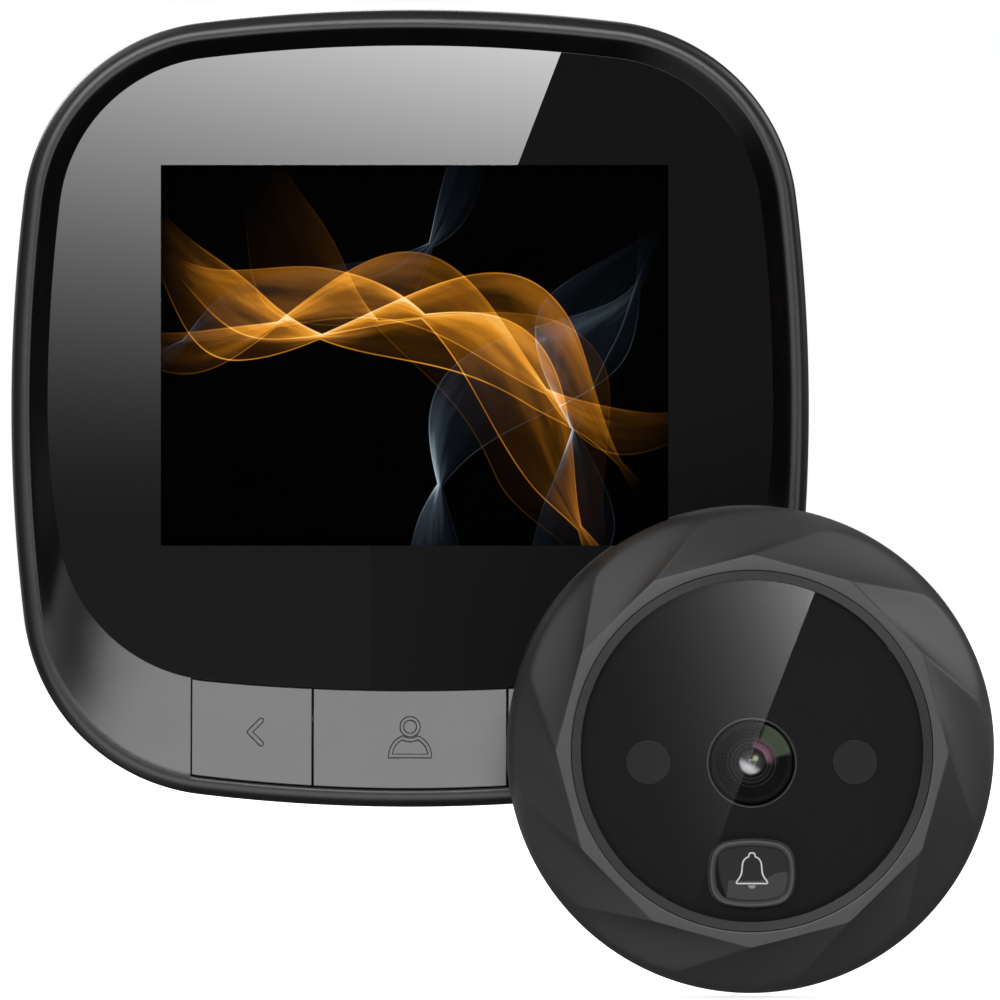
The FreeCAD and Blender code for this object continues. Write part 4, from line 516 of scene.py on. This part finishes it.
edge = bend(on_pane(0, DISH_FLOOR - POLISH), on_pane(0, DISH_FLOOR), on_pane(POLISH, DISH_FLOOR))
pane = np.array([on_pane(0, LEDGE), on_pane(0, 17.5)] + edge + [on_pane(3 * POLISH, DISH_FLOOR)])
PICTURE_MIDDLE, PICTURE_HALF = (0.5, 6.0), (28.8, 21.6)
glass = Finish("window_glass", IOR=1.5, Roughness=0.0)
across, _, up = glass.axes()
past_side = (abs(across - PICTURE_MIDDLE[0]) - PICTURE_HALF[0]).most(
    abs(up - PICTURE_MIDDLE[1]) - PICTURE_HALF[1])
# Painted light: the black print is painted lighter towards the bottom.
glass.set(Base_Color=glass.mixed((0.0062, 0.0062, 0.0063), (0.0088, 0.0088, 0.0089),
                                 up.rise(20, -30) * 0.85 + glass.noise(14, 3) * 0.15),
          Alpha=past_side.rise(-0.02, 0.04))
make("window_pane", [(pane, weave(pane, closed=False) + lids(pane))], glass.material, "monitor",
     ["display_window"])


def dress(finish, *nodes):
    """Gives carried-over CAD nodes their finish."""
    for node in nodes:
        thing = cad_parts[node]
        for place in thing.material_slots:
            place.material = finish
        if not thing.material_slots:
            thing.data.materials.append(finish)


# Display: a liquid crystal cell with its backlight in a plastic cradle, and its flat tail.
# The lit picture is a made-up one: twisting sheets of amber and of slate-blue light on black.
PANEL_FACE = 16.8
lit = Finish("lcd_glass", Roughness=0.5, Specular_IOR_Level=0.0, Emission_Strength=1.0)
across, depth, up = lit.axes()
u, v = across - PICTURE_MIDDLE[0], up - PICTURE_MIDDLE[1]
on_picture = (abs(u) < PICTURE_HALF[0]) * (abs(v) < PICTURE_HALF[1]) * (depth < -PANEL_FACE)


def silk(turn, middle, swing, pace, start, spread, twist, fold, low, high, tone):
    """A sheet of light with thin bright edges, densest where it narrows, with streaks along it.

    s runs along a line turned by turn degrees and t across it. The sheet's middle is at
    middle + swing * sin(pace * s + start), half its width is spread * |sin(twist * s + fold)|,
    and it tapers in from s = low and out to s = high.
    """
    c, k = cos(radians(turn)), sin(radians(turn))
    s, t = u * c + v * k, v * c - u * k
    taper = s.rise(low, low + 16) * s.rise(high, high - 16)
    half = abs((s * twist + fold).wave()) * (taper * 0.7 + 0.3) * spread + 0.3
    off = (t - (s * pace + start).wave() * swing - middle) / half
    along = lit.add("ShaderNodeCombineXYZ", {}, {0: s / 15, 1: off * 1.5, 2: fold + start})
    streak = lit.add("ShaderNodeTexNoise", {}, {"Vector": along, "Scale": 1.0, "Detail": 4.0})
    streak = streak.rise(0.25, 0.8)
    body = abs(off).rise(1.0, 0.98) * (off * 0.3 + 0.42) * (streak + 0.35) * 3.0 / (half + 1.2)
    edge = (((abs(off) - 1) * half / 0.075) ** 2 * -1).exp()
    return (body + edge * (streak * 0.5 + 0.25)) * taper * tone


amber = silk(-24, 1.0, 5.8, 0.115, 0.6, 6.0, 0.085, 0.9, -34, 30, 1.0)
for shape in ((-36, -1.0, 6.5, 0.10, 1.1, 4.8, 0.11, 0.2, -30, 35, 0.85),
              (-10, 1.5, 6.0, 0.12, 1.8, 3.8, 0.10, 1.6, -34, 34, 0.55),
              (-44, 2.0, 4.5, 0.13, 0.2, 8.5, 0.07, 0.4, -28, 32, 0.26)):
    amber = amber + silk(*shape)
smoke = silk(58, -13.0, 4.5, 0.14, 2.2, 5.5, 0.10, 1.1, -30, 27, 0.9)
for shape in ((72, -20.0, 3.5, 0.15, 0.4, 4.5, 0.12, 0.3, -26, 24, 0.7),
              (40, 13.0, 5.0, 0.12, 4.0, 4.5, 0.11, 2.1, -27, 25, 0.8)):
    smoke = smoke + silk(*shape)
amber_stops = [(0.0, (0, 0, 0)), (0.12, (0.030, 0.011, 0.001)), (0.35, (0.26, 0.090, 0.006)),
               (0.62, (0.78, 0.30, 0.020)), (0.85, (0.98, 0.52, 0.11)), (1.0, (1.0, 0.76, 0.40))]
smoke_stops = [(0.0, (0, 0, 0)), (0.25, (0.004, 0.006, 0.009)), (0.55, (0.035, 0.048, 0.062)),
               (1.0, (0.42, 0.50, 0.56))]
warm = lit.add("ShaderNodeValToRGB", {"stops": amber_stops}, {0: amber})
cool = lit.add("ShaderNodeValToRGB", {"stops": smoke_stops}, {0: smoke})
glow = lit.add("ShaderNodeMix", {"data_type": "RGBA", "blend_type": "ADD"},
               {0: 1.0, 6: warm, 7: cool}, output=2)
lit.set(Emission_Color=lit.mixed((0, 0, 0), glow, on_picture),
        Base_Color=lit.mixed((0.0004, 0.0004, 0.0004), (0.0008, 0.0008, 0.0008), lit.noise(11, 5)))
dress(lit.material, "lcd_panel")
dress(moulded("white_plastic", (0.70, 0.70, 0.68), (0.78, 0.78, 0.76), 0.45), "lcd_backlight")
dress(moulded("inner_plastic", (0.020, 0.020, 0.022), (0.030, 0.030, 0.032), 0.5), "lcd_cradle")
LANE_PITCH = 0.8
tail = Finish("flex", Roughness=0.35)
lanes = (tail.axes()[0] * (2 * pi / LANE_PITCH)).wave().rise(-0.2, 0.3)
tail.set(Base_Color=tail.mixed((0.45, 0.20, 0.05), (0.30, 0.11, 0.03), lanes))
tail.relief(lanes, 0.02)
dress(tail.material, "lcd_flex")


# Main board and key board: green glass-fibre boards with tinned pads, chips, switches and screws.
# They stand on posts behind the display; little of them shows.
board = Finish("board", Roughness=0.35)
traces = (board.noise(2.2, 4, stretch=(1, 1, 0.25)) - 0.5).rise(0.0, 0.04)
pads = board.add("ShaderNodeTexVoronoi", {}, {"Vector": board.where(), "Scale": 420})
pads = pads.rise(0.22, 0.18)
board.set(Base_Color=board.mixed(board.mixed((0.010, 0.075, 0.028), (0.014, 0.11, 0.04), traces),
                                 (0.55, 0.55, 0.52), pads), Metallic=pads)
board.relief(traces * 0.5 + pads, 0.03)
dress(board.material, "main_board", "key_board", "outdoor_board")
dress(moulded("chips", (0.014, 0.014, 0.015), (0.022, 0.022, 0.024), 0.42, 0.12, 0.004),
      "main_board_chips", "link_socket", "outdoor_socket", "card_socket", "power_switch_body",
      "key_switches", "doorbell_switch")


def metal(name, dull, bright, roughness, brush=(1, 1, 1), grain=0.8, depth=0.003):
    """Plain metal: brushed or plated, with cloudy colour and uneven gloss."""
    finish = Finish(name, Metallic=1.0)
    cloud, streak = finish.noise(6, 3), finish.noise(grain, 3, stretch=brush)
    finish.set(Base_Color=finish.mixed(dull, bright, cloud * 0.5 + streak * 0.5),
               Roughness=cloud * 0.12 + (roughness - 0.06))
    finish.relief(streak, depth)
    return finish.material


screw_steel = metal("screw_steel", (0.30, 0.30, 0.31), (0.45, 0.45, 0.46), 0.3)
dress(screw_steel, "board_screws", "case_screws", "outdoor_screws", "outdoor_board_screws",
      "battery_contacts", "battery_springs")
dress(metal("speaker_basket", (0.35, 0.35, 0.36), (0.5, 0.5, 0.5), 0.4), "speaker_basket")
dress(metal("magnet", (0.20, 0.20, 0.21), (0.30, 0.30, 0.31), 0.35), "speaker_magnet")
dress(moulded("cone", (0.012, 0.012, 0.012), (0.03, 0.03, 0.03), 0.7, 0.3, 0.01), "speaker_cone")


# Batteries: three AAA cells, each in a dark printed sleeve with two bare light grey ends.
# They lie across the bay, the middle one turned round, between contact plates and springs.
SLEEVE_HALF, NUB_FROM = 14, 24.4
sleeve = Finish("cell_sleeve", Roughness=0.22)
from_middle = abs(sleeve.axes()[0])
tin = from_middle > NUB_FROM
end_band = (from_middle - SLEEVE_HALF).rise(0, 0.2)
sleeve.set(Base_Color=sleeve.mixed(sleeve.mixed((0.015, 0.016, 0.02), (0.42, 0.43, 0.45), end_band),
                                   (0.6, 0.6, 0.6), tin), Metallic=end_band.most(tin))
sleeve.relief(sleeve.noise(1.5, 2), 0.004)
dress(sleeve.material, "battery_cell_1", "battery_cell_2", "battery_cell_3")


# Rear case and battery cover: moulded black ABS with a spark-eroded grain.
# The cover slides down off its tongues; the knob and the keys' plungers are smoother.
case_black = moulded("case_black", (0.014, 0.014, 0.015), (0.022, 0.022, 0.024), 0.46, 0.3, 0.03)
dress(case_black, "rear_case", "battery_cover")
dress(moulded("knob_plastic", (0.012, 0.012, 0.013), (0.018, 0.018, 0.02), 0.35),
      "power_switch_knob")
dress(moulded("card", (0.008, 0.008, 0.01), (0.014, 0.014, 0.017), 0.3), "memory_card")
dress(moulded("plunger_white", (0.6, 0.6, 0.58), (0.7, 0.7, 0.68), 0.4),
      "key_plunger_back", "key_plunger_view", "key_plunger_next", "doorbell_plunger")

# Door plate: stamped zinc-plated steel, screwed to the door, with four hooks for the case.
# Plating leaves a faint spangle and rolling marks along its height.
plate = metal("plate_steel", (0.42, 0.43, 0.45), (0.60, 0.61, 0.63), 0.34, (6, 6, 0.5), 2.0, 0.004)
dress(plate, "door_plate")


# Keys: three moulded caps in the chin, between the window and the rim, with sunk icons.
# Each slides in against a switch behind it; its front follows the dish of the frame.
KEY_BACK, KEY_ROUND = 15.3, 0.09
SUNK, STROKE_HALF, STROKE_EDGE, ICON_REACH = 0.11, 0.21, 0.08, 2.8
CHEVRON_LEVEL, CHEVRON_LONG = -36.74, 1.32
HEAD_LEVEL, HEAD_RADIUS, NECK_RADIUS = -36.15, 0.94, 1.5
SHOULDER_LEVEL, SHOULDER_RADIUS = -39.45, 2.22


def chevron(x, z, tip):
    """Distance from the middle line of an angle bracket that points away from the middle key.

    It is the distance from the nearer of its two legs, which leave the tip at 45 degrees.
    """
    side = np.sign(tip)
    apart = []
    for rise in (1, -1):
        from_tip = np.stack([(x - tip) * -side, (z - CHEVRON_LEVEL) * rise])
        along = np.clip((from_tip[0] + from_tip[1]) / 2, 0, CHEVRON_LONG)
        apart.append(np.hypot(from_tip[0] - along, from_tip[1] - along))
    return np.minimum(*apart) - 0.05


def visitor(x, z, tip):
    """Distance from the lines of a head and shoulders: a circle, and a dome cut by a larger one."""
    to_head = np.hypot(x, z - HEAD_LEVEL)
    dome = np.maximum(np.hypot(x, z - SHOULDER_LEVEL) - SHOULDER_RADIUS, SHOULDER_LEVEL - z)
    dome = np.maximum(dome, NECK_RADIUS - to_head)
    return np.minimum(np.abs(to_head - HEAD_RADIUS), np.abs(dome))


def key_lines(low, high, fine_low, fine_high, fine):
    """Grid lines across a key: close at both rounded edges and over the icon, wide elsewhere."""
    edge = np.array([0, 0.01, 0.03, 0.06, KEY_ROUND, 0.14, 0.3])
    wide = np.arange(low + 0.6, high - 0.6, 0.5)
    lines = np.concatenate([low + edge, high - edge, wide, np.arange(fine_low, fine_high, fine)])
    return np.unique(np.round(lines, 4))


ICON_STEP, KEY_LOW, KEY_HIGH = 0.045, -43.5, -32.2
# Its gloss varies less than that of the other plastics: its roughness stays under 0.27, because
# the denoiser draws a line where a surface crosses that.
key_grey = moulded("key_grey", (0.012, 0.012, 0.013), (0.019, 0.019, 0.020), 0.256, spread=0.03)
for key, low, high, tip, icon in (("back", -KEY_END, -11.2, -18.21, chevron),
                                  ("view", -10.9, 10.9, 0, visitor),
                                  ("next", 11.2, KEY_END, 18.21, chevron)):
    low, high = low - (KEY_GAP - SEAM) / 2, high + (KEY_GAP - SEAM) / 2
    x = key_lines(low, high, tip - ICON_REACH, tip + ICON_REACH, ICON_STEP)
    # From the window's edge, 0, to the rim, 1.
    levels = key_lines(KEY_LOW, KEY_HIGH, -40.2, -34.6, ICON_STEP)
    share = np.sort(np.clip((levels - KEY_HIGH) / (KEY_LOW - KEY_HIGH), 0, 1))[:, None]
    far, near = WINDOW.low_edge(x, -SEAM / 2), CASE.low_edge(x, RIM_WIDTH + SEAM / 2)
    z = far + share * (near - far)
    foot, top = WINDOW.low_edge(x, 0), CASE.low_edge(x, RIM_WIDTH)
    forward = DISH_FLOOR + (CREST - DISH_FLOOR) * (foot - z) / (foot - top)
    x_grid = np.broadcast_to(x, z.shape)
    edge = np.minimum(np.minimum(x_grid - low, high - x_grid), np.minimum(far - z, z - near))
    into_round = np.clip(KEY_ROUND - edge, 0, KEY_ROUND)
    forward = forward - KEY_ROUND + np.sqrt(KEY_ROUND ** 2 - into_round ** 2)
    # The icon's strokes are sunk, with a smooth step as their wall.
    wall = np.clip((STROKE_HALF + STROKE_EDGE / 2 - icon(x_grid, z, tip)) / STROKE_EDGE, 0, 1)
    forward = forward - SUNK * wall * wall * (3 - 2 * wall)
    face = np.stack([x_grid, forward, z], -1)
    rows, count = z.shape
    rim = np.concatenate([face[0], face[1:, -1], face[-1, -2::-1], face[-2:0:-1, 0]])
    rim_numbers = np.concatenate([np.arange(count), np.arange(1, rows) * count + count - 1,
                                  (rows - 1) * count + np.arange(count - 2, -1, -1),
                                  np.arange(rows - 2, 0, -1) * count])
    foot_ring = rim.copy()
    foot_ring[:, 1] = KEY_BACK
    points = np.concatenate([face.reshape(-1, 3), foot_ring])
    after = np.roll(np.arange(len(rim)), -1)
    skirt = np.stack([rim_numbers, rows * count + np.arange(len(rim)), rows * count + after,
                      rim_numbers[after]], -1)
    faces = weave(face, around=False, closed=False)
    faces += skirt.tolist() + [(rows * count + np.arange(len(rim))).tolist()]
    make("key_cap_" + key, [(points, faces)], key_grey, key + "_key", ["key_" + key])


# Outdoor unit's ring: painted zinc, a round shoulder cut by twelve twisted facets.
# Each facet runs from a side of the flat twelve-cornered front and turns as it falls away.
AXIS = np.array([38.3, -38.4])
FACETS, FLAT_FRONT, CORNER_RADIUS = 12, 45.2, 21.96
FALL, REACH, TWIST = 8.4, 29.07, radians(25.3)
SHOULDER, WAIST, WAIST_RADIUS, BACK_ROUND, BORE = 13.61, 34.5, 27.38, 6.0, 20.15
RIDGE_ROUND = 0.02


def corner_at(number, drop):
    """A facet's ridge: a straight line from a corner of the front to a turned, wider one."""
    front = CORNER_RADIUS * np.exp(1j * 2 * pi * number / FACETS)
    foot = REACH * np.exp(1j * (2 * pi * number / FACETS - TWIST))
    return front + drop * (foot - front)


def facet(number, side, drop):
    """Points beside a ridge: side runs from -0.5 to 0.5, from one facet's middle to the next."""
    ridge, before, after = (corner_at(number + k, drop) for k in (0, -1, 1))
    away = np.sqrt(side ** 2 + RIDGE_ROUND ** 2) * 0.5 / sqrt(0.25 + RIDGE_ROUND ** 2)
    return ridge + side * (after - before) / 2 + away * ((after + before) / 2 - ridge)


def fall_at(drop):
    """How far the facets lie behind the front: they start shallow and grow steeper."""
    return FALL * drop * (0.68 + 0.32 * drop)


def shoulder_radius(depth):
    """The turned profile: an arc down to the waist, and a smaller one behind it."""
    front = WAIST_RADIUS - SHOULDER + np.sqrt(SHOULDER ** 2 - (depth - WAIST) ** 2)
    behind_waist = (depth - WAIST) * (depth < WAIST)
    back = WAIST_RADIUS - BACK_ROUND + np.sqrt(BACK_ROUND ** 2 - behind_waist ** 2)
    return np.where(depth < WAIST, back, front)


def unit_ring(spot, depth):
    """A row of points round the outdoor unit's axis, from their places in the front's plane."""
    return ring(AXIS + np.column_stack([spot.real, spot.imag]), depth)


# Places beside the ridges lie closer together towards each ridge.
side = np.linspace(-1, 1, 29)[:-1]
side = 0.5 * np.sign(side) * np.abs(side) ** 1.5
number, side = (a.ravel() for a in np.meshgrid(np.arange(FACETS), side, indexing="ij"))
edge_spot = facet(number, side, 0 * side)
way = edge_spot / np.abs(edge_spot)
rows = bend(unit_ring(way * BORE, FLAT_FRONT - 0.2), unit_ring(way * BORE, FLAT_FRONT),
            unit_ring(way * (BORE + 0.15), FLAT_FRONT), 4)
rows += [unit_ring(way * (BORE + 0.3), FLAT_FRONT)]
rows += bend(unit_ring(edge_spot - way * 0.14, FLAT_FRONT), unit_ring(edge_spot, FLAT_FRONT),
             unit_ring(facet(number, side, 0.016 + 0 * side), FLAT_FRONT - fall_at(0.016)), 4)
for drop in np.concatenate([np.linspace(0.03, 0.9, 28), np.linspace(0.93, 1.16, 12)]):
    spot, depth = facet(number, side, drop + 0 * side), FLAT_FRONT - fall_at(drop)
    reach, limit = np.abs(spot), shoulder_radius(depth)
    soft = 0.04 + 0.20 * drop ** 2
    # The smooth minimum of the facet's reach and the shoulder's radius.
    radius = -soft * np.log(np.exp(-reach / soft) + np.exp(-limit / soft))
    rows.append(unit_ring(spot / reach * radius, depth))
end_way = spot / reach
for depth in (WAIST, 33.7, 32.9, 32.15):
    rows.append(unit_ring(end_way * shoulder_radius(depth), depth))
rows += [unit_ring(end_way * radius, depth)
         for radius, depth in ((26.45, 32.0), (21.6, 32.0), (21.6, 42.2))]
rows += [unit_ring(way * radius, depth)
         for radius, depth in ((19.3, 42.2), (19.3, 43.2), (BORE, 43.2))]
shell = np.array(rows)
ring_grey = Finish("ring_grey", IOR=1.5)
fleck, cloud = ring_grey.noise(0.16, 3), ring_grey.noise(12, 3)
ring_grey.set(Base_Color=ring_grey.mixed((0.021, 0.021, 0.0213), (0.037, 0.037, 0.0375),
                                         fleck * 0.6 + cloud * 0.4),
              Roughness=cloud * 0.08 + 0.38)
ring_grey.relief(fleck, 0.010)
make("unit_bezel", [(shell, weave(shell))], ring_grey.material, "outdoor_unit",
     ["bezel_ring"], crease=20)


# Rear housing, seal and foam: a black moulding whose spigot goes through the door.
# Brass inserts in the spigot take the long screws, and a foam ring seals the unit to the door.
dress(moulded("housing_black", (0.014, 0.014, 0.015), (0.024, 0.024, 0.026), 0.5, 0.3, 0.03),
      "rear_housing")
dress(metal("insert_brass", (0.45, 0.28, 0.09), (0.62, 0.42, 0.15), 0.28, grain=0.5),
      "clamp_inserts")
dress(moulded("rubber", (0.012, 0.012, 0.012), (0.02, 0.02, 0.02), 0.65), "seal_ring")
foam = Finish("foam", Roughness=0.95)
cells = foam.add("ShaderNodeTexVoronoi", {}, {"Vector": foam.where(), "Scale": 2200})
foam.set(Base_Color=foam.mixed((0.012, 0.012, 0.013), (0.05, 0.05, 0.052), cells))
foam.relief(cells, 0.25)
dress(foam.material, "foam_ring")


# Trim ring, cover glass and mask: a dark chamfered ring holds a clear disc, printed black behind.
# Over the camera the glass is a faint mirror, stronger seen edge-on; elsewhere the print behind it
# takes the gloss. The print leaves the camera open, with a fine grey line round the hole that is a
# painted highlight of the hole's edge, and two lamp windows.
trim = moulded("trim_black", (0.016, 0.016, 0.0165), (0.023, 0.023, 0.0235), 0.45)
dress(trim, "trim_ring")
BELL_SPOT = (AXIS[0], AXIS[1] - 13.66)
BELL = Outline(4.8, (3.8, 8.0, 14.0, 2.4), (3.8, 8.0, 14.0, 2.4), *BELL_SPOT)
bell_places = BELL.places(0.2)
GLASS_RADIUS, GLASS_BACK, GLASS_FRONT, CHAMFER, BELL_PLAY = 19.05, 43.43, 44.6, 0.15, 0.15


def out_to_disc(radius):
    """Points on a circle round the unit's axis, each straight out from the doorbell's opening."""
    start = BELL.at(bell_places, -BELL_PLAY)
    way = start - np.array(BELL_SPOT)
    way /= np.linalg.norm(way, axis=1)[:, None]
    offset = np.array(BELL_SPOT) - AXIS
    along = way @ offset
    reach = -along + np.sqrt(along ** 2 - offset @ offset + radius ** 2)
    return np.array(BELL_SPOT) + reach[:, None] * way


disc = np.array([ring(BELL.at(bell_places, -BELL_PLAY), GLASS_BACK),
                 ring(BELL.at(bell_places, -BELL_PLAY), GLASS_FRONT - CHAMFER),
                 ring(BELL.at(bell_places, -BELL_PLAY - CHAMFER), GLASS_FRONT),
                 ring(BELL.at(bell_places, -BELL_PLAY - CHAMFER - 0.1), GLASS_FRONT),
                 ring(out_to_disc(GLASS_RADIUS - CHAMFER - 0.1), GLASS_FRONT),
                 ring(out_to_disc(GLASS_RADIUS - CHAMFER), GLASS_FRONT),
                 ring(out_to_disc(GLASS_RADIUS), GLASS_FRONT - CHAMFER),
                 ring(out_to_disc(GLASS_RADIUS), GLASS_BACK)])
EYE, EYE_RADIUS = (AXIS[0], AXIS[1] - 1.34), 5.0


def from_lens(finish):
    """Across and up from the lens's axis, the distance from it, and 1 towards the upper right."""
    across, _, up = finish.axes()
    x, z = across - EYE[0], up - EYE[1]
    away = (x ** 2 + z ** 2) ** 0.5
    return x, z, away, (x * 0.75 + z * 0.66) / away


clear = Finish("cover_glass", Metallic=1.0, Roughness=0.0)
edge_on = clear.add("ShaderNodeLayerWeight", {}, {"Blend": 0.5}, "Facing")
over_eye = from_lens(clear)[2].rise(EYE_RADIUS, EYE_RADIUS - 0.04)
clear.set(Base_Color=clear.mixed((0.96, 0.97, 0.97), (0.99, 0.99, 0.99), clear.noise(20)),
          Alpha=(edge_on ** 5 * 0.95 + 0.021) * over_eye)
make("cover_disc", [(disc, weave(disc))], clear.material, "outdoor_unit",
     ["cover_glass"])
mask = Finish("mask_black", IOR=1.5, Roughness=0.0)
# Painted highlight: a fine grey line round the camera's hole, where its edge would catch light.
edge_highlight_line = from_lens(mask)[2].rise(EYE_RADIUS + 0.05, EYE_RADIUS + 0.01)
black = mask.mixed((0.0112, 0.0112, 0.0115), (0.0124, 0.0124, 0.0127), mask.noise(8))
mask.set(Base_Color=mask.mixed(black, (0.050, 0.050, 0.050), edge_highlight_line))
dress(mask.material, "window_mask")
filter_black = Finish("ir_filter", IOR=1.5, Roughness=0.0)
filter_black.set(Base_Color=filter_black.mixed((0.0240, 0.0226, 0.0232), (0.0255, 0.0245, 0.0255),
                                               filter_black.noise(2.5)))
dress(filter_black.material, "ir_windows")


# Camera: a black anodised barrel with a coated front lens, over the sensor, and two lamps.
# Green and magenta reflections of the coatings are painted on the barrel towards the upper right;
# the dome carries a painted silvery reflection below and a painted yellow-green highlight.
barrel = Finish("barrel", Roughness=0.45, Specular_IOR_Level=0.05)
_, _, away, slant = from_lens(barrel)
THREAD_PITCH = 0.44
# The rings are a real relief, and are also painted lighter: painted highlights on them.
lines = (away * (2 * pi / THREAD_PITCH) - 24.13).wave().rise(0.70, 1.0) * away.rise(2.9, 2.75)
# Painted reflections: a green fan and a magenta blush towards the upper right.
green_painted_reflection = slant.rise(0.85, 0.91) * away.rise(2.2, 2.9)
magenta_painted_reflection = slant.rise(0.62, 0.95) * away.rise(3.3, 1.6)
black = barrel.mixed((0.0035, 0.0035, 0.0035), (0.030, 0.029, 0.029), lines)
with_green_reflection = barrel.mixed(black, (0.052, 0.068, 0.044), green_painted_reflection)
barrel.set(Base_Color=barrel.mixed(with_green_reflection, (0.17, 0.085, 0.12), magenta_painted_reflection))
barrel.relief(lines, 0.02)
dress(barrel.material, "lens_barrel", "lens_holder", "lens_retainer")
lens = Finish("lens_glass", IOR=1.5, Roughness=0.2)
x, z, away, _ = from_lens(lens)
# Painted light: a silvery reflection on the lower dome and a yellow-green highlight spot.
spot = ((x - 0.47) ** 2 + (z - 0.47) ** 2) ** 0.5
reflection_below = (x * -0.5 - z * 0.87).rise(-0.1, 0.75) * away.rise(1.5, 1.2)
dome_painted_reflection = lens.mixed((0.045, 0.045, 0.043), (0.62, 0.59, 0.63), reflection_below)
lens.set(Base_Color=lens.mixed(dome_painted_reflection, (0.42, 0.45, 0.26), spot.rise(0.45, 0.12)))
dress(lens.material, "lens_front", "lens_rear", "lens_filter")
led = Finish("led_resin", IOR=1.5, Roughness=0.08, Transmission_Weight=0.6)
led.set(Base_Color=led.mixed((0.30, 0.26, 0.30), (0.40, 0.36, 0.40), led.noise(3)))
dress(led.material, "ir_leds")
sensor = Finish("sensor", Roughness=0.2)
sensor.set(Base_Color=sensor.mixed((0.02, 0.03, 0.03), (0.04, 0.05, 0.06), sensor.noise(1)))
dress(sensor.material, "image_sensor")


# Doorbell button: a satin cap whose rim frames a sunk glossy plate with a printed bell.
# The cap slides 0.6 mm in the glass against its switch; its flange holds it in.
cap_rows = [ring(BELL.at(bell_places, inset), depth) for inset, depth in
            ((-0.9, 42.3), (-0.9, 43.0), (-0.8, 43.1), (0, 43.1), (0, 44.55))]
cap_rows += bend(ring(BELL.at(bell_places, 0), 44.55), ring(BELL.at(bell_places, 0), 44.9),
                 ring(BELL.at(bell_places, 0.26), 44.9), 5)[1:]
cap_rows += bend(ring(BELL.at(bell_places, 0.30), 44.9), ring(BELL.at(bell_places, 0.42), 44.9),
                 ring(BELL.at(bell_places, 0.62), 44.74), 4)
cap_rows += [ring(BELL.at(bell_places, inset), depth) for inset, depth in
             ((0.72, 44.66), (0.75, 44.6), (0.75, 44.12))]
cap = np.array(cap_rows)
STEM_RADIUS, INLAY_FACE = 1.7, 44.49
angle = np.linspace(0, 2 * pi, 33)[:-1]
stem_line = np.array(BELL_SPOT) + STEM_RADIUS * np.column_stack([np.cos(angle), np.sin(angle)])
stem = np.array([ring(stem_line, 39.0), ring(stem_line, 42.4)])
make("bell_button", [(cap, weave(cap, closed=False) + lids(cap)),
                     (stem, weave(stem, closed=False) + lids(stem))],
     moulded("bell_cap", (0.025, 0.025, 0.026), (0.033, 0.033, 0.034), 0.5, 0.1, 0.002),
     "doorbell", ["doorbell_cap"])
inlay = np.array([ring(BELL.at(bell_places, inset), depth) for inset, depth in
                  ((0.8, 44.12), (0.8, INLAY_FACE), (0.84, INLAY_FACE))])
# Its colour carries a painted reflection in two tones: paler under a wavy line, black at the left
# end.
gloss = Finish("bell_inlay", IOR=1.5, Roughness=0.08)
across, _, up = gloss.axes()
x, z = across - BELL_SPOT[0], up - BELL_SPOT[1]
swell = x.rise(0.8, 3.4) * 0.95 - 0.95 + gloss.noise(0.9) * 0.3
lower = (z - swell).rise(0.04, -0.04) * (x - z * 0.1).rise(-2.6, -2.5)
dark_reflection_end = (x + z * 0.17 - z * z * 0.05).rise(-3.55, -3.75)
painted_reflection_tones = gloss.mixed((0.0245, 0.0245, 0.025), (0.050, 0.050, 0.051), lower)
gloss.set(Base_Color=gloss.mixed(painted_reflection_tones, (0.007, 0.007, 0.007), dark_reflection_end))
make("bell_plate", [(inlay, weave(inlay, closed=False) + lids(inlay))], gloss.material, "doorbell",
     ["doorbell_inlay"])


def through(points, steps=6):
    """A closed smooth curve: each stretch is the cubic set by its two ends and their neighbours."""
    a, b, c, d = (np.roll(points, k, axis=0)[:, None, :] for k in (1, 0, -1, -2))
    s = (np.arange(steps) / steps)[None, :, None]
    bow = s ** 2 * (2 * a - 5 * b + 4 * c - d) / 2 + s ** 3 * (3 * b - a - 3 * c + d) / 2
    return (b + s * (c - a) / 2 + bow).reshape(-1, 2)


# The bell's right half, from its top to its lip, and then its left half back up.
LINE_HALF, PRINT_BACK, PRINT_FACE, CLAPPER_FROM = 0.08, 44.2, 44.51, -1.27
half = np.array([(0.20, 2.26), (0.36, 2.06), (0.40, 1.86), (0.72, 1.70), (1.02, 1.35), (1.14, 0.90),
                 (1.18, 0.40), (1.26, -0.05), (1.45, -0.45), (1.74, -0.82), (1.84, -1.02),
                 (1.74, -1.13), (1.2, -1.13), (0.4, -1.13)])
bell = through(np.concatenate([half, half[::-1] * (-1, 1)]) * (0.94, 1))
along = np.roll(bell, -1, axis=0) - np.roll(bell, 1, axis=0)
outward = np.column_stack([along[:, 1], -along[:, 0]]) / np.linalg.norm(along, axis=1)[:, None]
bell_line = np.array([ring(BELL_SPOT + bell + outward * width, depth) for width, depth in
                      ((LINE_HALF, PRINT_BACK), (LINE_HALF, PRINT_FACE),
                       (-LINE_HALF, PRINT_FACE), (-LINE_HALF, PRINT_BACK))])
angle = np.linspace(0, pi, 17)
drop = np.array(BELL_SPOT) + np.column_stack([0.44 * np.cos(angle), -1.33 - 0.38 * np.sin(angle)])
clapper = np.array([ring(drop, PRINT_BACK), ring(drop, PRINT_FACE)])
print_white = Finish("bell_print", Roughness=0.6)
on_clapper = print_white.axes()[2] < BELL_SPOT[1] + CLAPPER_FROM
ink = print_white.mixed((0.46, 0.46, 0.46), (0.54, 0.54, 0.54), print_white.noise(0.3))
print_white.set(Base_Color=print_white.mixed(ink, (0.20, 0.20, 0.20), on_clapper))
make("bell_sign", [(bell_line, weave(bell_line)),
                   (clapper, weave(clapper, closed=False) + lids(clapper))],
     print_white.material, "doorbell")
